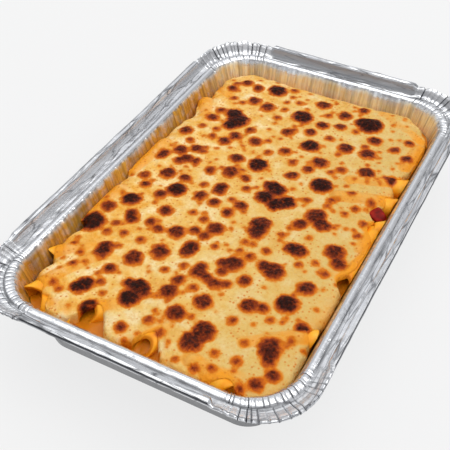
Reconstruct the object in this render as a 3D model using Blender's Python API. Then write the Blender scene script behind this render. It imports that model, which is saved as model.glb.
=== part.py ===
"""A takeaway meal of baked penne in a rectangular foil tray, under a thick cheese topping with blisters.

The pieces are the pressed foil tray, the bed of penne in sauce that fills it, the cheese topping that lies on
the pasta, and one piece of red pepper at the tray's right side. The origin is at the centre of the tray's
underside: X runs across the tray, Y along it and Z up. Sizes are in millimetres until a vertex is made.
"""

import math
import random

import bmesh
import bpy
from mathutils import Euler, Matrix, Vector, noise

MM = 0.001

# The tray's mouth, where the wall meets the rim, and how the wall slopes in to the base
MOUTH_HALF_X = 67.5
MOUTH_HALF_Y = 110.4
MOUTH_RADIUS = 23.0
WALL_SLOPE_IN = 10.2  # offset of the wall's inner face at its foot
WALL_FOOT_Z = 4.5
WALL_HEAD_IN = 0.9  # and at its head, under the rim
WALL_HEAD_Z = 36.2
BASE_RADIUS_LOSS = 0.85  # how much the corner radius shrinks for each millimetre further in
RIM_RADIUS_GAIN = 0.25  # and how little it grows outwards, which makes the rim's corners squarer
FOIL = 0.5
PLEAT_SHARE = 0.5  # of a pleat's depth, to either side of the foil's own section
PLEATS_LIFT_FROM = 37.0  # height above which the pleats also stand up

# The rim: its hemmed straight stretches end a little before the pleated corners begin
HEM_END_X = 44.0
HEM_END_Y = 84.0
HEM_STEP = 1.2
CORNER_STATIONS = 23  # stations round a corner, every second one on a fold's crest
LONG_SIDE_STATIONS = (-0.98, -0.5, 0.0, 0.5, 0.98)
SHORT_SIDE_STATIONS = (-0.97, 0.0, 0.97)

# Pasta
PENNE_RADIUS = 4.7
PENNE_BORE = 2.9
PENNE_SIDES = 12
PENNE_CUT = math.radians(42)  # slant of a cut end
BORE_DEPTH = 0.42  # of a tube's length, from each end
BED_MIDDLE = 27.5  # height of the bed under the cheese
BED_EDGE = 25.5  # and where it meets the wall
BED_SLOPE = 14.0  # over which distance it falls
BED_STATIONS = 11  # round each corner
BED_FOOT = ((-2.9, 0.85), (-0.9, 1.95), (0.0, 4.7))  # its rounded foot: offset from the wall, and height
BED_STEPS_IN = (4.0, 8.0, BED_SLOPE)
CLEARANCE = 0.7  # from the foil, whose corners are pleated
TOUCH_GAP = 0.35  # between pieces that lie on each other
CAVITY_HEIGHTS = (0.7, 4.7, 36.0)
CAVITY_FLOOR_IN = 2.0  # how much further in the cavity's floor ends, where the foil is rounded

# Cheese topping
CHEESE_TOP = 32.2
CHEESE_DOME = 1.0
CHEESE_THIN = 1.2  # least thickness, as where it drapes a tube of pasta
CHEESE_CELLS = (24, 40)
CHEESE_INSET = 2.9  # from the mouth's outline to the topping's upper edge where it reaches the wall
CHEESE_UNDERCUT = 3.2  # how much further in its lower edge lies, as the wall slopes
CHEESE_FALL = (1.4, 0.4)  # how far its edge lies below its top: left and back, then right and front
CHEESE_FALL_WIDTH = 9.0
CHEESE_DRAPE = 1.6  # how much wider than a tube its cover is
CHEESE_OVERLAP = 1.0  # how far the slab starts inside the bed, before the bed's room is cut from it
CHEESE_WAVE = (0.5, 0.07)  # height of its slow waves, and their number per millimetre
EDGE_WAVE = (0.5, 0.11)  # the same for the line of its edge

# Tubes of pasta that show: the open end's x, y and z, its heading and dip in degrees, the length and the turn
# of the cut in degrees
PENNE = (
    (-63.8, -75.0, 28.3, 38, 4, 28, 210),
    (-57.5, -98.0, 28.0, 65, 0, 32, 180),
    (-52.5, -100.0, 26.5, -4, 0, 16, 150),
    (-29.0, -96.5, 28.4, 40, 6, 28, 110),
    (1.5, -101.0, 28.3, 68, 6, 28, 100),
    (33.0, -102.5, 27.6, 25, 8, 24, 90),
    (45.0, -102.5, 27.5, 172, 0, 22, 0),
    (61.5, -66.0, 28.4, 215, 3, 28, 300),
    (61.0, -29.5, 28.0, 75, 0, 24, 90),
    (59.5, 8.0, 28.2, 40, 0, 12, 45),
    (61.0, -8.0, 27.6, 85, 0, 14, 60),
    (66.0, 32.2, 27.6, 202, -3, 30, 20),
    (66.0, 49.2, 27.4, 207, -2, 30, 340),
    (34.0, 99.5, 26.8, -30, 0, 30, 300),
    (61.5, 77.0, 28.0, 262, 0, 18, 0),
    (-60.0, 64.0, 28.8, -60, 6, 24, 180),
    (-60.3, 19.0, 28.8, 264, 3, 26, 160),
    (-60.2, -24.0, 28.4, 264, 3, 24, 140),
    (-57.5, 79.0, 27.0, -30, 2, 26, 140),
)

# Tubes that stay under the topping and lift it in soft ridges
RIDGE_COUNT = 34
RIDGE_LENGTH = 26.0
RIDGE_LIFT = 0.9
RIDGE_SPREAD = 22.0  # square millimetres over which a ridge fades to its sides
RIDGE_FIELD = ((-54, 54), (-96, 92))
RIDGE_SEED = 11

# Bites in the topping's edge, where pasta shows: place on the outline and how far in and along they reach
EDGE_BITES = (
    (-67.5, -56.0, 3.5, 5.0),
    (-67.0, -82.0, 4.5, 8.0),
    (-62.0, -101.0, 8.0, 9.0),
    (-52.0, -109.2, 7.0, 6.0),
    (-25.0, -110.4, 14.5, 7.0),
    (3.5, -110.4, 13.0, 6.5),
    (42.0, -110.4, 6.0, 6.0),
    (67.5, -66.0, 4.0, 5.0),
    (67.5, -31.0, 6.0, 5.0),
    (67.5, 8.0, 6.0, 7.0),
    (67.5, 20.0, 8.0, 5.0),
    (67.5, 31.0, 5.0, 5.0),
    (67.5, 46.0, 6.0, 8.0),
    (60.0, 97.0, 5.0, 14.0),
    (-67.5, 52.0, 3.5, 5.0),
    (-67.5, 80.0, 4.0, 9.0),
    (-58.0, 100.0, 3.5, 10.0),
    (-5.0, 110.4, 3.5, 50.0),
)

# Red pepper: a bent strip
PEPPER_PLACE = (58.0, 21.0, 29.6)
PEPPER_TURN = (16.0, 4.0, -24.0)
PEPPER_RADIUS = 8.0
PEPPER_BEND = math.radians(76)
PEPPER_HALF_WIDTH = 3.6
PEPPER_THICK = 1.7
PEPPER_STEPS = 8
PEPPER_NARROWED = 0.65  # share of the width that is left at its ends

# The largest browned blisters: x, y and radius
BLISTERS = (
    (-29, 93, 4.5), (0, 92, 4.5), (30, 85, 7.0), (-36, 77, 4.2), (-26, 75, 4.0), (-6, 75, 5.6),
    (8, 73, 4.2), (-38, 55, 8.2), (-49, 52, 3.8), (9, 52, 5.4), (26, 59, 4.2), (38, 60, 4.4),
    (43, 45, 4.6), (19, 42, 5.0), (-56, 34, 4.0), (-50, 19, 4.2), (-45, 13, 4.6), (-21, 25, 4.5),
    (-8, 25, 5.3), (28, 25, 5.9), (-18, 13, 4.2), (10, 8, 10.0), (35, 3, 5.6), (-47, -1, 4.4),
    (-16, 0, 3.9), (-35, -10, 5.0), (-22, -9, 4.0), (14, -17, 8.0), (34, -22, 5.2), (53, -16, 6.2),
    (-51, -27, 4.9), (-5, -27, 4.4), (-20, -36, 4.6), (30, -38, 5.7), (-8, -43, 4.6), (14, -43, 3.9),
    (48, -41, 4.2), (-59, -49, 6.4), (-19, -51, 4.5), (4, -55, 4.4), (45, -54, 4.9), (-43, -62, 5.2),
    (-28, -61, 4.6), (31, -62, 4.0), (12, -69, 4.0), (-17, -77, 7.4), (5, -80, 4.9), (50, -80, 5.6),
    (-38, -85, 6.0), (20, -87, 6.8),
)
BLISTER_LIFT = 0.15  # of a blister's radius
BLISTER_SPREAD = 1.15  # radii from its centre to its foot

SHARP_FROM = 40  # degrees between two faces from which their edge is sharp
CHEESE_SHARP_FROM = 50


def smooth_step(value):
    """0 below 0, 1 above 1, and a soft S between."""
    value = min(max(value, 0.0), 1.0)
    return value * value * (3.0 - 2.0 * value)


def ring_radius(out):
    """Corner radius of the outline that lies this far outside the mouth."""
    return MOUTH_RADIUS + out * (RIM_RADIUS_GAIN if out > 0 else BASE_RADIUS_LOSS)


def corner_path(half_x, half_y, radius, start_x, start_y, share):
    """Point of the first quadrant's corner: (half_x, start_y) at share 0, (start_x, half_y) at share 1."""
    first = max(half_y - radius - start_y, 0.0)
    arc = radius * math.pi / 2
    last = max(half_x - radius - start_x, 0.0)
    along = share * (first + arc + last)
    if along <= first:
        return half_x, start_y + along, 0.0
    if along >= first + arc:
        return half_x - radius - (along - first - arc), half_y, math.pi / 2
    angle = (along - first) / radius
    return half_x - radius + radius * math.cos(angle), half_y - radius + radius * math.sin(angle), angle


def outline(out, stations=CORNER_STATIONS):
    """Stations round the tray at this offset from the mouth, as (x, y, outward x, outward y, fold, hemmed).

    fold is +1 or -1 on a pleat's crest or valley, 0 off the corners; hemmed is 1 on straight stretches."""
    half_x, half_y, radius = MOUTH_HALF_X + out, MOUTH_HALF_Y + out, ring_radius(out)
    start_x, start_y = min(HEM_END_X, half_x - radius), min(HEM_END_Y, half_y - radius)
    quarter = []
    for index in range(stations):
        x, y, angle = corner_path(
            half_x, half_y, radius, start_x + HEM_STEP, start_y + HEM_STEP, index / (stations - 1)
        )
        fold = 0.0 if index in (0, stations - 1) else (1.0 if index % 2 else -1.0)
        quarter.append((x, y, math.cos(angle), math.sin(angle), fold, 0.0))
    right = [(half_x, start_y * share, 1.0, 0.0, 0.0, 1.0) for share in LONG_SIDE_STATIONS]
    back = [(-start_x * share, half_y, 0.0, 1.0, 0.0, 1.0) for share in SHORT_SIDE_STATIONS]

    def turned(points, sign_x, sign_y):
        return [
            (x * sign_x, y * sign_y, nx * sign_x, ny * sign_y, fold, hem) for x, y, nx, ny, fold, hem in points
        ]

    ring = right + quarter + back + turned(quarter[::-1], -1, 1)
    ring += turned(right, -1, -1) + turned(quarter, -1, -1)
    ring += turned(back, -1, -1) + turned(quarter[::-1], 1, -1)
    return ring


def bridge(bm, rings):
    """Quads between consecutive closed rings of the same length."""
    for lower, upper in zip(rings, rings[1:]):
        count = len(lower)
        for index in range(count):
            after = (index + 1) % count
            bm.faces.new((lower[index], lower[after], upper[after], upper[index]))


def add_ring(bm, points):
    return [bm.verts.new(Vector(point) * MM) for point in points]


def make_material(name, colour, roughness, metallic=0.0):
    """A Principled material of one colour, given in linear RGB."""
    material = bpy.data.materials.new(name)
    material.use_nodes = True
    shader = material.node_tree.nodes["Principled BSDF"]
    shader.inputs["Base Color"].default_value = (*colour, 1.0)
    shader.inputs["Roughness"].default_value = roughness
    shader.inputs["Metallic"].default_value = metallic
    material.diffuse_color = (*colour, 1.0)
    return material


def make_object(name, bm, material, smooth_angle):
    """Turns a bmesh into a linked object with its material, shaded smooth up to smooth_angle degrees."""
    bmesh.ops.recalc_face_normals(bm, faces=bm.faces)
    mesh = bpy.data.meshes.new(name)
    bm.to_mesh(mesh)
    bm.free()
    mesh.materials.append(material)
    mesh.shade_smooth()
    mesh.set_sharp_from_angle(angle=math.radians(smooth_angle))
    thing = bpy.data.objects.new(name, mesh)
    bpy.context.scene.collection.objects.link(thing)
    return thing


# The foil's upper face from the floor to the hem, then its lower face back to the underside. Each row holds
# the offset from the mouth and the height on the hemmed stretches, the same at the corners, and the depth of
# the pleats.
FOIL_SECTION = (
    ((-13.4, FOIL), (-13.4, FOIL), 0.0),
    ((-11.1, 1.5), (-11.1, 1.5), 0.1),
    ((-WALL_SLOPE_IN, WALL_FOOT_Z), (-WALL_SLOPE_IN, WALL_FOOT_Z), 0.25),
    ((-WALL_HEAD_IN, WALL_HEAD_Z), (-WALL_HEAD_IN, WALL_HEAD_Z), 0.35),
    ((0.3, 37.8), (0.3, 37.8), 0.15),
    ((1.5, 38.4), (1.5, 38.5), 0.2),
    ((3.0, 37.8), (3.0, 38.0), 0.3),
    ((4.4, 37.4), (4.6, 37.8), 0.4),
    ((6.8, 37.7), (6.6, 38.9), 0.6),
    ((7.5, 41.9), (8.2, 40.9), 0.8),
    ((8.3, 42.8), (9.6, 41.6), 0.8),
    ((10.7, 43.5), (10.6, 41.9), 0.8),
    ((11.4, 42.9), (11.3, 41.3), 0.6),
    ((11.3, 41.7), (11.2, 40.4), 0.6),
    ((10.4, 41.4), (10.4, 40.2), 0.8),
    ((8.9, 42.1), (9.6, 41.0), 0.8),
    ((8.1, 41.3), (8.5, 40.2), 0.8),
    ((7.4, 37.3), (6.9, 38.3), 0.6),
    ((4.6, 36.9), (4.8, 37.2), 0.4),
    ((3.1, 37.2), (3.2, 37.4), 0.3),
    ((1.6, 37.8), (1.6, 37.9), 0.2),
    ((0.7, 37.2), (0.7, 37.2), 0.15),
    ((-0.4, 35.9), (-0.4, 35.9), 0.35),
    ((-9.65, 4.3), (-9.65, 4.3), 0.25),
    ((-10.5, 0.9), (-10.5, 0.9), 0.1),
    ((-12.9, 0.0), (-12.9, 0.0), 0.0),
)


def make_tray(material):
    """The pressed foil tray: floor, sloping wall, rim bead, flange and hem, with pleats round the corners."""
    bm = bmesh.new()
    rings = []
    for (hem_out, hem_z), (corner_out, corner_z), pleat in FOIL_SECTION:
        points = []
        for hemmed, cornered in zip(outline(hem_out), outline(corner_out)):
            x, y, nx, ny, fold, straight = hemmed if hemmed[5] else cornered
            z = hem_z if straight else corner_z
            push = fold * pleat * PLEAT_SHARE
            points.append((x + nx * push, y + ny * push, z + push * (z > PLEATS_LIFT_FROM)))
        rings.append(add_ring(bm, points))
    bridge(bm, rings)
    bm.faces.new(rings[0])
    bm.faces.new(rings[-1])
    return make_object("foil_tray", bm, material, SHARP_FROM)


def wall_out(z):
    """Offset from the mouth of the foil's inner face at this height."""
    return -WALL_SLOPE_IN + (z - WALL_FOOT_Z) / (WALL_HEAD_Z - WALL_FOOT_Z) * (WALL_SLOPE_IN - WALL_HEAD_IN)


def wall_distance(x, y, out):
    """How far a point lies inside the outline at this offset, negative outside it."""
    half_x, half_y, radius = MOUTH_HALF_X + out, MOUTH_HALF_Y + out, ring_radius(out)
    over_x, over_y = abs(x) - (half_x - radius), abs(y) - (half_y - radius)
    outside = math.hypot(max(over_x, 0.0), max(over_y, 0.0))
    return radius - outside - min(max(over_x, over_y), 0.0)


def bed_height(x, y):
    """Height of the pasta bed, which falls towards the wall."""
    inset = wall_distance(x, y, wall_out(BED_EDGE) - CLEARANCE)
    return BED_EDGE + (BED_MIDDLE - BED_EDGE) * smooth_step(inset / BED_SLOPE)


def make_bed_core(grow=0.0):
    """The bed under the tubes, out to the foil: rings up the wall, then in across its top; grown by grow mm."""
    bm = bmesh.new()
    foot = -WALL_SLOPE_IN - CLEARANCE
    edge = wall_out(BED_EDGE) - CLEARANCE
    side = [(foot + out, z) for out, z in BED_FOOT] + [(edge, BED_EDGE + grow)]
    rings = []
    for out, z in side:
        rings.append(add_ring(bm, [(x, y, z) for x, y, *_ in outline(out + 4 * grow, BED_STATIONS)]))
    for inset in BED_STEPS_IN:
        z = BED_EDGE + grow + (BED_MIDDLE - BED_EDGE) * smooth_step(inset / BED_SLOPE)
        rings.append(add_ring(bm, [(x, y, z) for x, y, *_ in outline(edge - inset, BED_STATIONS)]))
    bridge(bm, rings)
    bm.faces.new(rings[0])
    bm.faces.new(rings[-1])
    return bm


def trim_to_foil(thing, material):
    """Cuts off what would reach into the foil's wall."""
    cavity = make_object("cavity", make_cavity(), material, SHARP_FROM)
    apply_boolean(thing, "INTERSECT", cavity)
    bpy.data.objects.remove(cavity)


def make_cavity():
    """The room inside the foil."""
    bm = bmesh.new()
    rings = []
    for z in CAVITY_HEIGHTS:
        out = wall_out(z) - CLEARANCE - (CAVITY_FLOOR_IN if z < WALL_FOOT_Z else 0.0)
        rings.append(add_ring(bm, [(x, y, z) for x, y, *_ in outline(out, BED_STATIONS)]))
    bridge(bm, rings)
    bm.faces.new(rings[0])
    bm.faces.new(rings[-1])
    return bm


def make_penne(length, turn, grow=0.0):
    """One tube along +X from its open end at the origin: both ends slant, and a blind bore runs in from each.

    Grown by so many mm, it is a solid bar without bores, which leaves the tube its room in the topping."""
    bm = bmesh.new()
    lean = math.tan(PENNE_CUT)
    depth = length * BORE_DEPTH
    outer = PENNE_RADIUS + grow
    section = [(-1.5 * grow, outer, 1), (length + 1.5 * grow, outer, 1)]
    if not grow:
        section = [(depth, PENNE_BORE, 0), (0.0, PENNE_BORE, 1), *section]
        section += [(length, PENNE_BORE, 1), (length - depth, PENNE_BORE, 0)]
    rings = []
    for x, radius, slanted in section:
        points = []
        for side in range(PENNE_SIDES):
            angle = 2 * math.pi * side / PENNE_SIDES
            slant = lean * radius * math.cos(angle - turn) * slanted
            points.append((x + slant, radius * math.cos(angle), radius * math.sin(angle)))
        rings.append(add_ring(bm, points))
    bridge(bm, rings)
    bm.faces.new(rings[0])
    bm.faces.new(rings[-1])
    return bm


def penne_pose(x, y, z, heading, dip):
    """Where a tube lies: its open end, turned to its heading and dipping into the bed."""
    turn = Euler((0.0, math.radians(dip), math.radians(heading)), "XYZ").to_matrix().to_4x4()
    return Matrix.Translation(Vector((x, y, z)) * MM) @ turn


def apply_boolean(thing, operation, tool, solver="MANIFOLD"):
    """Applies one Boolean of a collection or an object to thing, and keeps its name and material."""
    modifier = thing.modifiers.new(operation.lower(), "BOOLEAN")
    modifier.operation = operation
    modifier.solver = solver
    if isinstance(tool, bpy.types.Collection):
        modifier.operand_type = "COLLECTION"
        modifier.collection = tool
    else:
        modifier.object = tool
    bpy.context.view_layer.update()
    graph = bpy.context.evaluated_depsgraph_get()
    result = bpy.data.meshes.new_from_object(thing.evaluated_get(graph), depsgraph=graph)
    thing.modifiers.clear()
    thing.data = result


def keep_largest_body(thing):
    """Drops loose scraps, so that one closed body is left."""
    bm = bmesh.new()
    bm.from_mesh(thing.data)
    bmesh.ops.remove_doubles(bm, verts=bm.verts, dist=0.000002)
    unseen = set(bm.verts)
    bodies = []
    while unseen:
        front = [unseen.pop()]
        body = set(front)
        while front:
            for edge in front.pop().link_edges:
                for vert in edge.verts:
                    if vert in unseen:
                        unseen.remove(vert)
                        body.add(vert)
                        front.append(vert)
        bodies.append(body)
    bodies.sort(key=len)
    for body in bodies[:-1]:
        bmesh.ops.delete(bm, geom=list(body), context="VERTS")
    bm.to_mesh(thing.data)
    bm.free()


def make_heap(name, material, grow=0.0):
    """The bed's core with the tubes that show fused on, all of it grown by so many mm."""
    bed = make_object(name, make_bed_core(grow), material, SHARP_FROM)
    tubes = bpy.data.collections.new("tubes")
    bpy.context.scene.collection.children.link(tubes)
    for index, (x, y, z, heading, dip, length, turn) in enumerate(PENNE):
        solid = make_penne(length, math.radians(turn), grow)
        tube = make_object(f"tube_{index}", solid, material, SHARP_FROM)
        tube.matrix_world = penne_pose(x, y, z, heading, dip)
        bpy.context.scene.collection.objects.unlink(tube)
        tubes.objects.link(tube)
    apply_boolean(bed, "UNION", tubes)
    for tube in list(tubes.objects):
        bpy.data.objects.remove(tube)
    bpy.data.collections.remove(tubes)
    return bed


def make_pasta(material):
    """The bed of penne in sauce, trimmed at the foil's wall."""
    bed = make_heap("penne_in_sauce", material)
    trim_to_foil(bed, material)
    room = make_pepper("pepper_room", material, TOUCH_GAP)
    apply_boolean(bed, "DIFFERENCE", room)
    bpy.data.objects.remove(room)
    keep_largest_body(bed)
    bed.data.shade_smooth()
    bed.data.set_sharp_from_angle(angle=math.radians(SHARP_FROM))
    return bed


def tube_top(x, y, spread):
    """Height of the highest tube's back at a point, the tube widened by spread; low where there is none."""
    top = -1.0
    for end_x, end_y, end_z, heading, dip, length, _ in PENNE:
        run = math.cos(math.radians(dip)) * length
        way_x, way_y = math.cos(math.radians(heading)), math.sin(math.radians(heading))
        along = (x - end_x) * way_x + (y - end_y) * way_y
        side = abs((y - end_y) * way_x - (x - end_x) * way_y)
        beyond = max(-along, along - run, 0.0)
        off = max(math.hypot(side, beyond) - spread, 0.0)
        if off >= PENNE_RADIUS + spread:
            continue
        axis_z = end_z - math.sin(math.radians(dip)) * min(max(along, 0.0), run)
        rise = math.sqrt(max((PENNE_RADIUS + TOUCH_GAP) ** 2 - off * off, 0.0))
        top = max(top, axis_z + rise)
    return top


def hidden_ridges():
    """Soft ridges over tubes that stay under the topping: centre, heading and lift."""
    draw = random.Random(RIDGE_SEED)
    ridges = []
    for _ in range(RIDGE_COUNT):
        x = draw.uniform(*RIDGE_FIELD[0])
        y = draw.uniform(*RIDGE_FIELD[1])
        ridges.append((x, y, draw.uniform(0, math.pi), draw.uniform(0.4, 1.0) * RIDGE_LIFT))
    return ridges


def ridge_lift(x, y, ridges):
    """Height that the hidden tubes add to the topping at a point."""
    lift = 0.0
    for centre_x, centre_y, heading, height in ridges:
        along = (x - centre_x) * math.cos(heading) + (y - centre_y) * math.sin(heading)
        side = (y - centre_y) * math.cos(heading) - (x - centre_x) * math.sin(heading)
        beyond = max(abs(along) - RIDGE_LENGTH / 2, 0.0)
        lift = max(lift, height * math.exp(-(side * side + beyond * beyond) / RIDGE_SPREAD))
    return lift


def blister_lift(x, y):
    """Height of the browned blister at a point."""
    lift = 0.0
    for centre_x, centre_y, radius in BLISTERS:
        share = math.hypot(x - centre_x, y - centre_y) / (radius * BLISTER_SPREAD)
        if share < 1.0:
            lift = max(lift, radius * BLISTER_LIFT * (1.0 - share * share))
    return lift


def topping_inset(x, y):
    """How far inside the mouth's outline the topping's edge runs near a point of that outline."""
    inset = CHEESE_INSET + EDGE_WAVE[0] * noise.noise(Vector((x, y, 4.0)) * EDGE_WAVE[1])
    for bite_x, bite_y, depth, reach in EDGE_BITES:
        off = math.hypot(x - bite_x, y - bite_y) / reach
        inset += depth * math.exp(-off * off)
    return inset


def topping_place(u, v, further_in=0.0):
    """The topping's point for u and v from -1 to 1, where the square's border maps to the topping's edge."""
    reach = max(abs(u), abs(v))
    if reach == 0.0:
        return 0.0, 0.0
    border_u, border_v = u / reach, v / reach
    # a rounded outline for the square's border: straight sides, and corners pulled in to the mouth's radius
    x, y = border_u * MOUTH_HALF_X, border_v * MOUTH_HALF_Y
    over_x = abs(x) - (MOUTH_HALF_X - MOUTH_RADIUS)
    over_y = abs(y) - (MOUTH_HALF_Y - MOUTH_RADIUS)
    if over_x > 0 and over_y > 0:
        # near a corner the border runs evenly along the arc
        angle = math.pi / 4 + (over_y - over_x) / MOUTH_RADIUS * math.pi / 4
        x = math.copysign(MOUTH_HALF_X - MOUTH_RADIUS + MOUTH_RADIUS * math.cos(angle), x)
        y = math.copysign(MOUTH_HALF_Y - MOUTH_RADIUS + MOUTH_RADIUS * math.sin(angle), y)
        nx, ny = math.copysign(math.cos(angle), x), math.copysign(math.sin(angle), y)
    else:
        nx = math.copysign(1.0, x) if abs(border_u) >= abs(border_v) else 0.0
        ny = math.copysign(1.0, y) if nx == 0.0 else 0.0
    inset = topping_inset(x, y) + further_in * (reach > 0.999)
    return (x - nx * inset) * reach, (y - ny * inset) * reach


def topping_heights(x, y, ridges, edge):
    """Heights of the topping's lower face, a little inside the bed, and of its upper face.

    edge is 0 at the topping's border and 1 from a few millimetres in."""
    low_side = smooth_step(0.5 + (y / MOUTH_HALF_Y - x / MOUTH_HALF_X) * 0.5)
    most_fall = CHEESE_FALL[1] + (CHEESE_FALL[0] - CHEESE_FALL[1]) * low_side
    bed = bed_height(x, y)
    under = max(bed, tube_top(x, y, CHEESE_DRAPE)) + TOUCH_GAP
    dome = CHEESE_TOP + CHEESE_DOME * (1.0 - (x / MOUTH_HALF_X) ** 2) * (1.0 - (y / MOUTH_HALF_Y) ** 2)
    wave = CHEESE_WAVE[0] * noise.noise(Vector((x, y, 0.0)) * CHEESE_WAVE[1])
    top = dome + ridge_lift(x, y, ridges) + wave + blister_lift(x, y)
    fall = (1.0 - smooth_step(edge)) * most_fall
    return bed - CHEESE_OVERLAP, max(top - fall, under + CHEESE_THIN)


def make_topping(material):
    """The cheese topping: a thick sheet over the bed that drapes the tubes near its edge, with blisters."""
    bm = bmesh.new()
    ridges = hidden_ridges()
    columns, rows = CHEESE_CELLS
    upper, under = {}, {}
    for column in range(columns + 1):
        for row in range(rows + 1):
            u, v = 2.0 * column / columns - 1.0, 2.0 * row / rows - 1.0
            x, y = topping_place(u, v)
            edge = min((1.0 - abs(u)) * MOUTH_HALF_X, (1.0 - abs(v)) * MOUTH_HALF_Y) / CHEESE_FALL_WIDTH
            low, high = topping_heights(x, y, ridges, edge)
            upper[column, row] = bm.verts.new(Vector((x, y, high)) * MM)
            x, y = topping_place(u, v, CHEESE_UNDERCUT)
            under[column, row] = bm.verts.new(Vector((x, y, low)) * MM)
    for column in range(columns):
        for row in range(rows):
            corners = ((column, row), (column + 1, row), (column + 1, row + 1), (column, row + 1))
            bm.faces.new([upper[corner] for corner in corners])
            bm.faces.new([under[corner] for corner in reversed(corners)])
    border = [(column, 0) for column in range(columns)] + [(columns, row) for row in range(rows)]
    border += [(column, rows) for column in range(columns, 0, -1)] + [(0, row) for row in range(rows, 0, -1)]
    for here, after in zip(border, border[1:] + border[:1]):
        bm.faces.new((under[here], under[after], upper[after], upper[here]))
    below = [face for face in bm.faces if all(vert in under.values() for vert in face.verts)]
    flat = [edge for edge in bm.edges if all(face in below for face in edge.link_faces)]
    flat_verts = list({vert for edge in flat for vert in edge.verts})
    bmesh.ops.dissolve_limit(bm, angle_limit=math.radians(0.5), verts=flat_verts, edges=flat)
    bmesh.ops.triangulate(bm, faces=bm.faces)
    topping = make_object("cheese_topping", bm, material, CHEESE_SHARP_FROM)
    pasta_room = make_heap("pasta_room", material, TOUCH_GAP)
    pepper_room = make_pepper("pepper_room", material, TOUCH_GAP)
    for room in (pasta_room, pepper_room):
        apply_boolean(topping, "DIFFERENCE", room)
        bpy.data.objects.remove(room)
    trim_to_foil(topping, material)
    keep_largest_body(topping)
    topping.data.shade_smooth()
    topping.data.set_sharp_from_angle(angle=math.radians(CHEESE_SHARP_FROM))
    return topping


def make_pepper(name, material, grow=0.0):
    """A curved strip of red pepper that lies between two tubes by the right wall. Grown by so many mm."""
    bm = bmesh.new()
    rings = []
    for step in range(PEPPER_STEPS + 1):
        share = step / PEPPER_STEPS
        bend = (share - 0.5) * (PEPPER_BEND + 2 * grow / PEPPER_RADIUS)
        fullness = PEPPER_NARROWED + (1.0 - PEPPER_NARROWED) * math.sin(math.pi * share)
        half_width = PEPPER_HALF_WIDTH * fullness + grow
        inner = PEPPER_RADIUS - grow
        outer = PEPPER_RADIUS + PEPPER_THICK + grow
        ring = []
        for radius, side in ((inner, -1.0), (inner, 1.0), (outer, 0.8), (outer, -0.8)):
            ring.append((radius * math.sin(bend), side * half_width, radius * math.cos(bend) - PEPPER_RADIUS))
        rings.append(add_ring(bm, ring))
    bridge(bm, rings)
    bm.faces.new(rings[0])
    bm.faces.new(rings[-1])
    piece = make_object(name, bm, material, SHARP_FROM)
    turn = Euler([math.radians(angle) for angle in PEPPER_TURN]).to_matrix().to_4x4()
    piece.matrix_world = Matrix.Translation(Vector(PEPPER_PLACE) * MM) @ turn
    return piece


def main():
    for thing in list(bpy.data.objects):
        bpy.data.objects.remove(thing)
    foil = make_material("aluminium foil", (0.80, 0.81, 0.83), 0.22, 1.0)
    pasta = make_material("penne in sauce", (0.87, 0.45, 0.07), 0.40)
    cheese = make_material("browned cheese", (0.83, 0.60, 0.28), 0.45)
    pepper = make_material("red pepper", (0.55, 0.03, 0.01), 0.30)
    make_tray(foil)
    make_pasta(pasta)
    make_topping(cheese)
    make_pepper("red_pepper", pepper)


main()
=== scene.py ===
import math
import random

import bpy
import numpy as np
from mathutils import Matrix, Vector


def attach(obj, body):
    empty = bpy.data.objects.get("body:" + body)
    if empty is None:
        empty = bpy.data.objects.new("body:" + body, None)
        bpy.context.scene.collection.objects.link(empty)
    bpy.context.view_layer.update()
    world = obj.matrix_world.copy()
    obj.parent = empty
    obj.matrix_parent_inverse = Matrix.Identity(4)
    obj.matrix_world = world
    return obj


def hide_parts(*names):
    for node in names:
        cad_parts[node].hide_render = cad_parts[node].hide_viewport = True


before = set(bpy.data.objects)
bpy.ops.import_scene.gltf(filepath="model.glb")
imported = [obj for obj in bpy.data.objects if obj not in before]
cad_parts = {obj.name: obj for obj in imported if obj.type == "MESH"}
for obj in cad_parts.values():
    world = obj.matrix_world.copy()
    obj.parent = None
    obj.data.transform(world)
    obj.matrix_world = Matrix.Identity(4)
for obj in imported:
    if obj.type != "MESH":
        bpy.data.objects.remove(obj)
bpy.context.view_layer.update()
scene = bpy.context.scene
mm = 0.001
print("frame loaded:", sorted(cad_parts))


# small helpers: colour, nodes, soft random relief, meshes

def linear(hexColour):
    # an sRGB hex value as linear RGBA
    values = [int(hexColour[i:i + 2], 16) / 255 for i in (1, 3, 5)]
    return tuple(v / 12.92 if v <= 0.04045 else ((v + 0.055) / 1.055) ** 2.4 for v in values) + (1.0,)


def addNode(tree, kind, settings=None, links=None):
    return fillNode(tree, tree.nodes.new("ShaderNode" + kind), settings, links)


def fillNode(tree, node, settings=None, links=None):
    # settings go to the node's properties or, where it has none of that name, to its sockets; a link from a
    # node takes its mixed colour, its Fac or else its first output; a colour Mix takes its share at 0 and its
    # two colours at 6 and 7
    for name, value in (settings or {}).items():
        if isinstance(name, str) and hasattr(node, name):
            setattr(node, name, value)
        else:
            node.inputs[name].default_value = value
    for name, source in (links or {}).items():
        if isinstance(source, bpy.types.Node):
            mixes = source.bl_idname == "ShaderNodeMix"
            source = source.outputs[2] if mixes else source.outputs.get("Fac", source.outputs[0])
        tree.links.new(source, node.inputs[name])
    return node


def rampColours(node, stops):
    # fills a colour ramp from (place, hex) stops
    ramp = node.color_ramp
    while len(ramp.elements) < len(stops):
        ramp.elements.new(1.0)
    for element, (place, hexColour) in zip(ramp.elements, stops):
        element.position = place
        element.color = linear(hexColour)
    return node


def newMaterial(name):
    # the material, its tree and shader, and the place on the piece that its patterns follow
    material = bpy.data.materials.new(name)
    material.use_nodes = True
    tree = material.node_tree
    return material, tree, tree.nodes["Principled BSDF"], addNode(tree, "TexCoord").outputs["Object"]


def readValues(tree, *names):
    # the mesh's values of these names, one node each
    return [addNode(tree, "Attribute", {"attribute_name": name}) for name in names]


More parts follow.
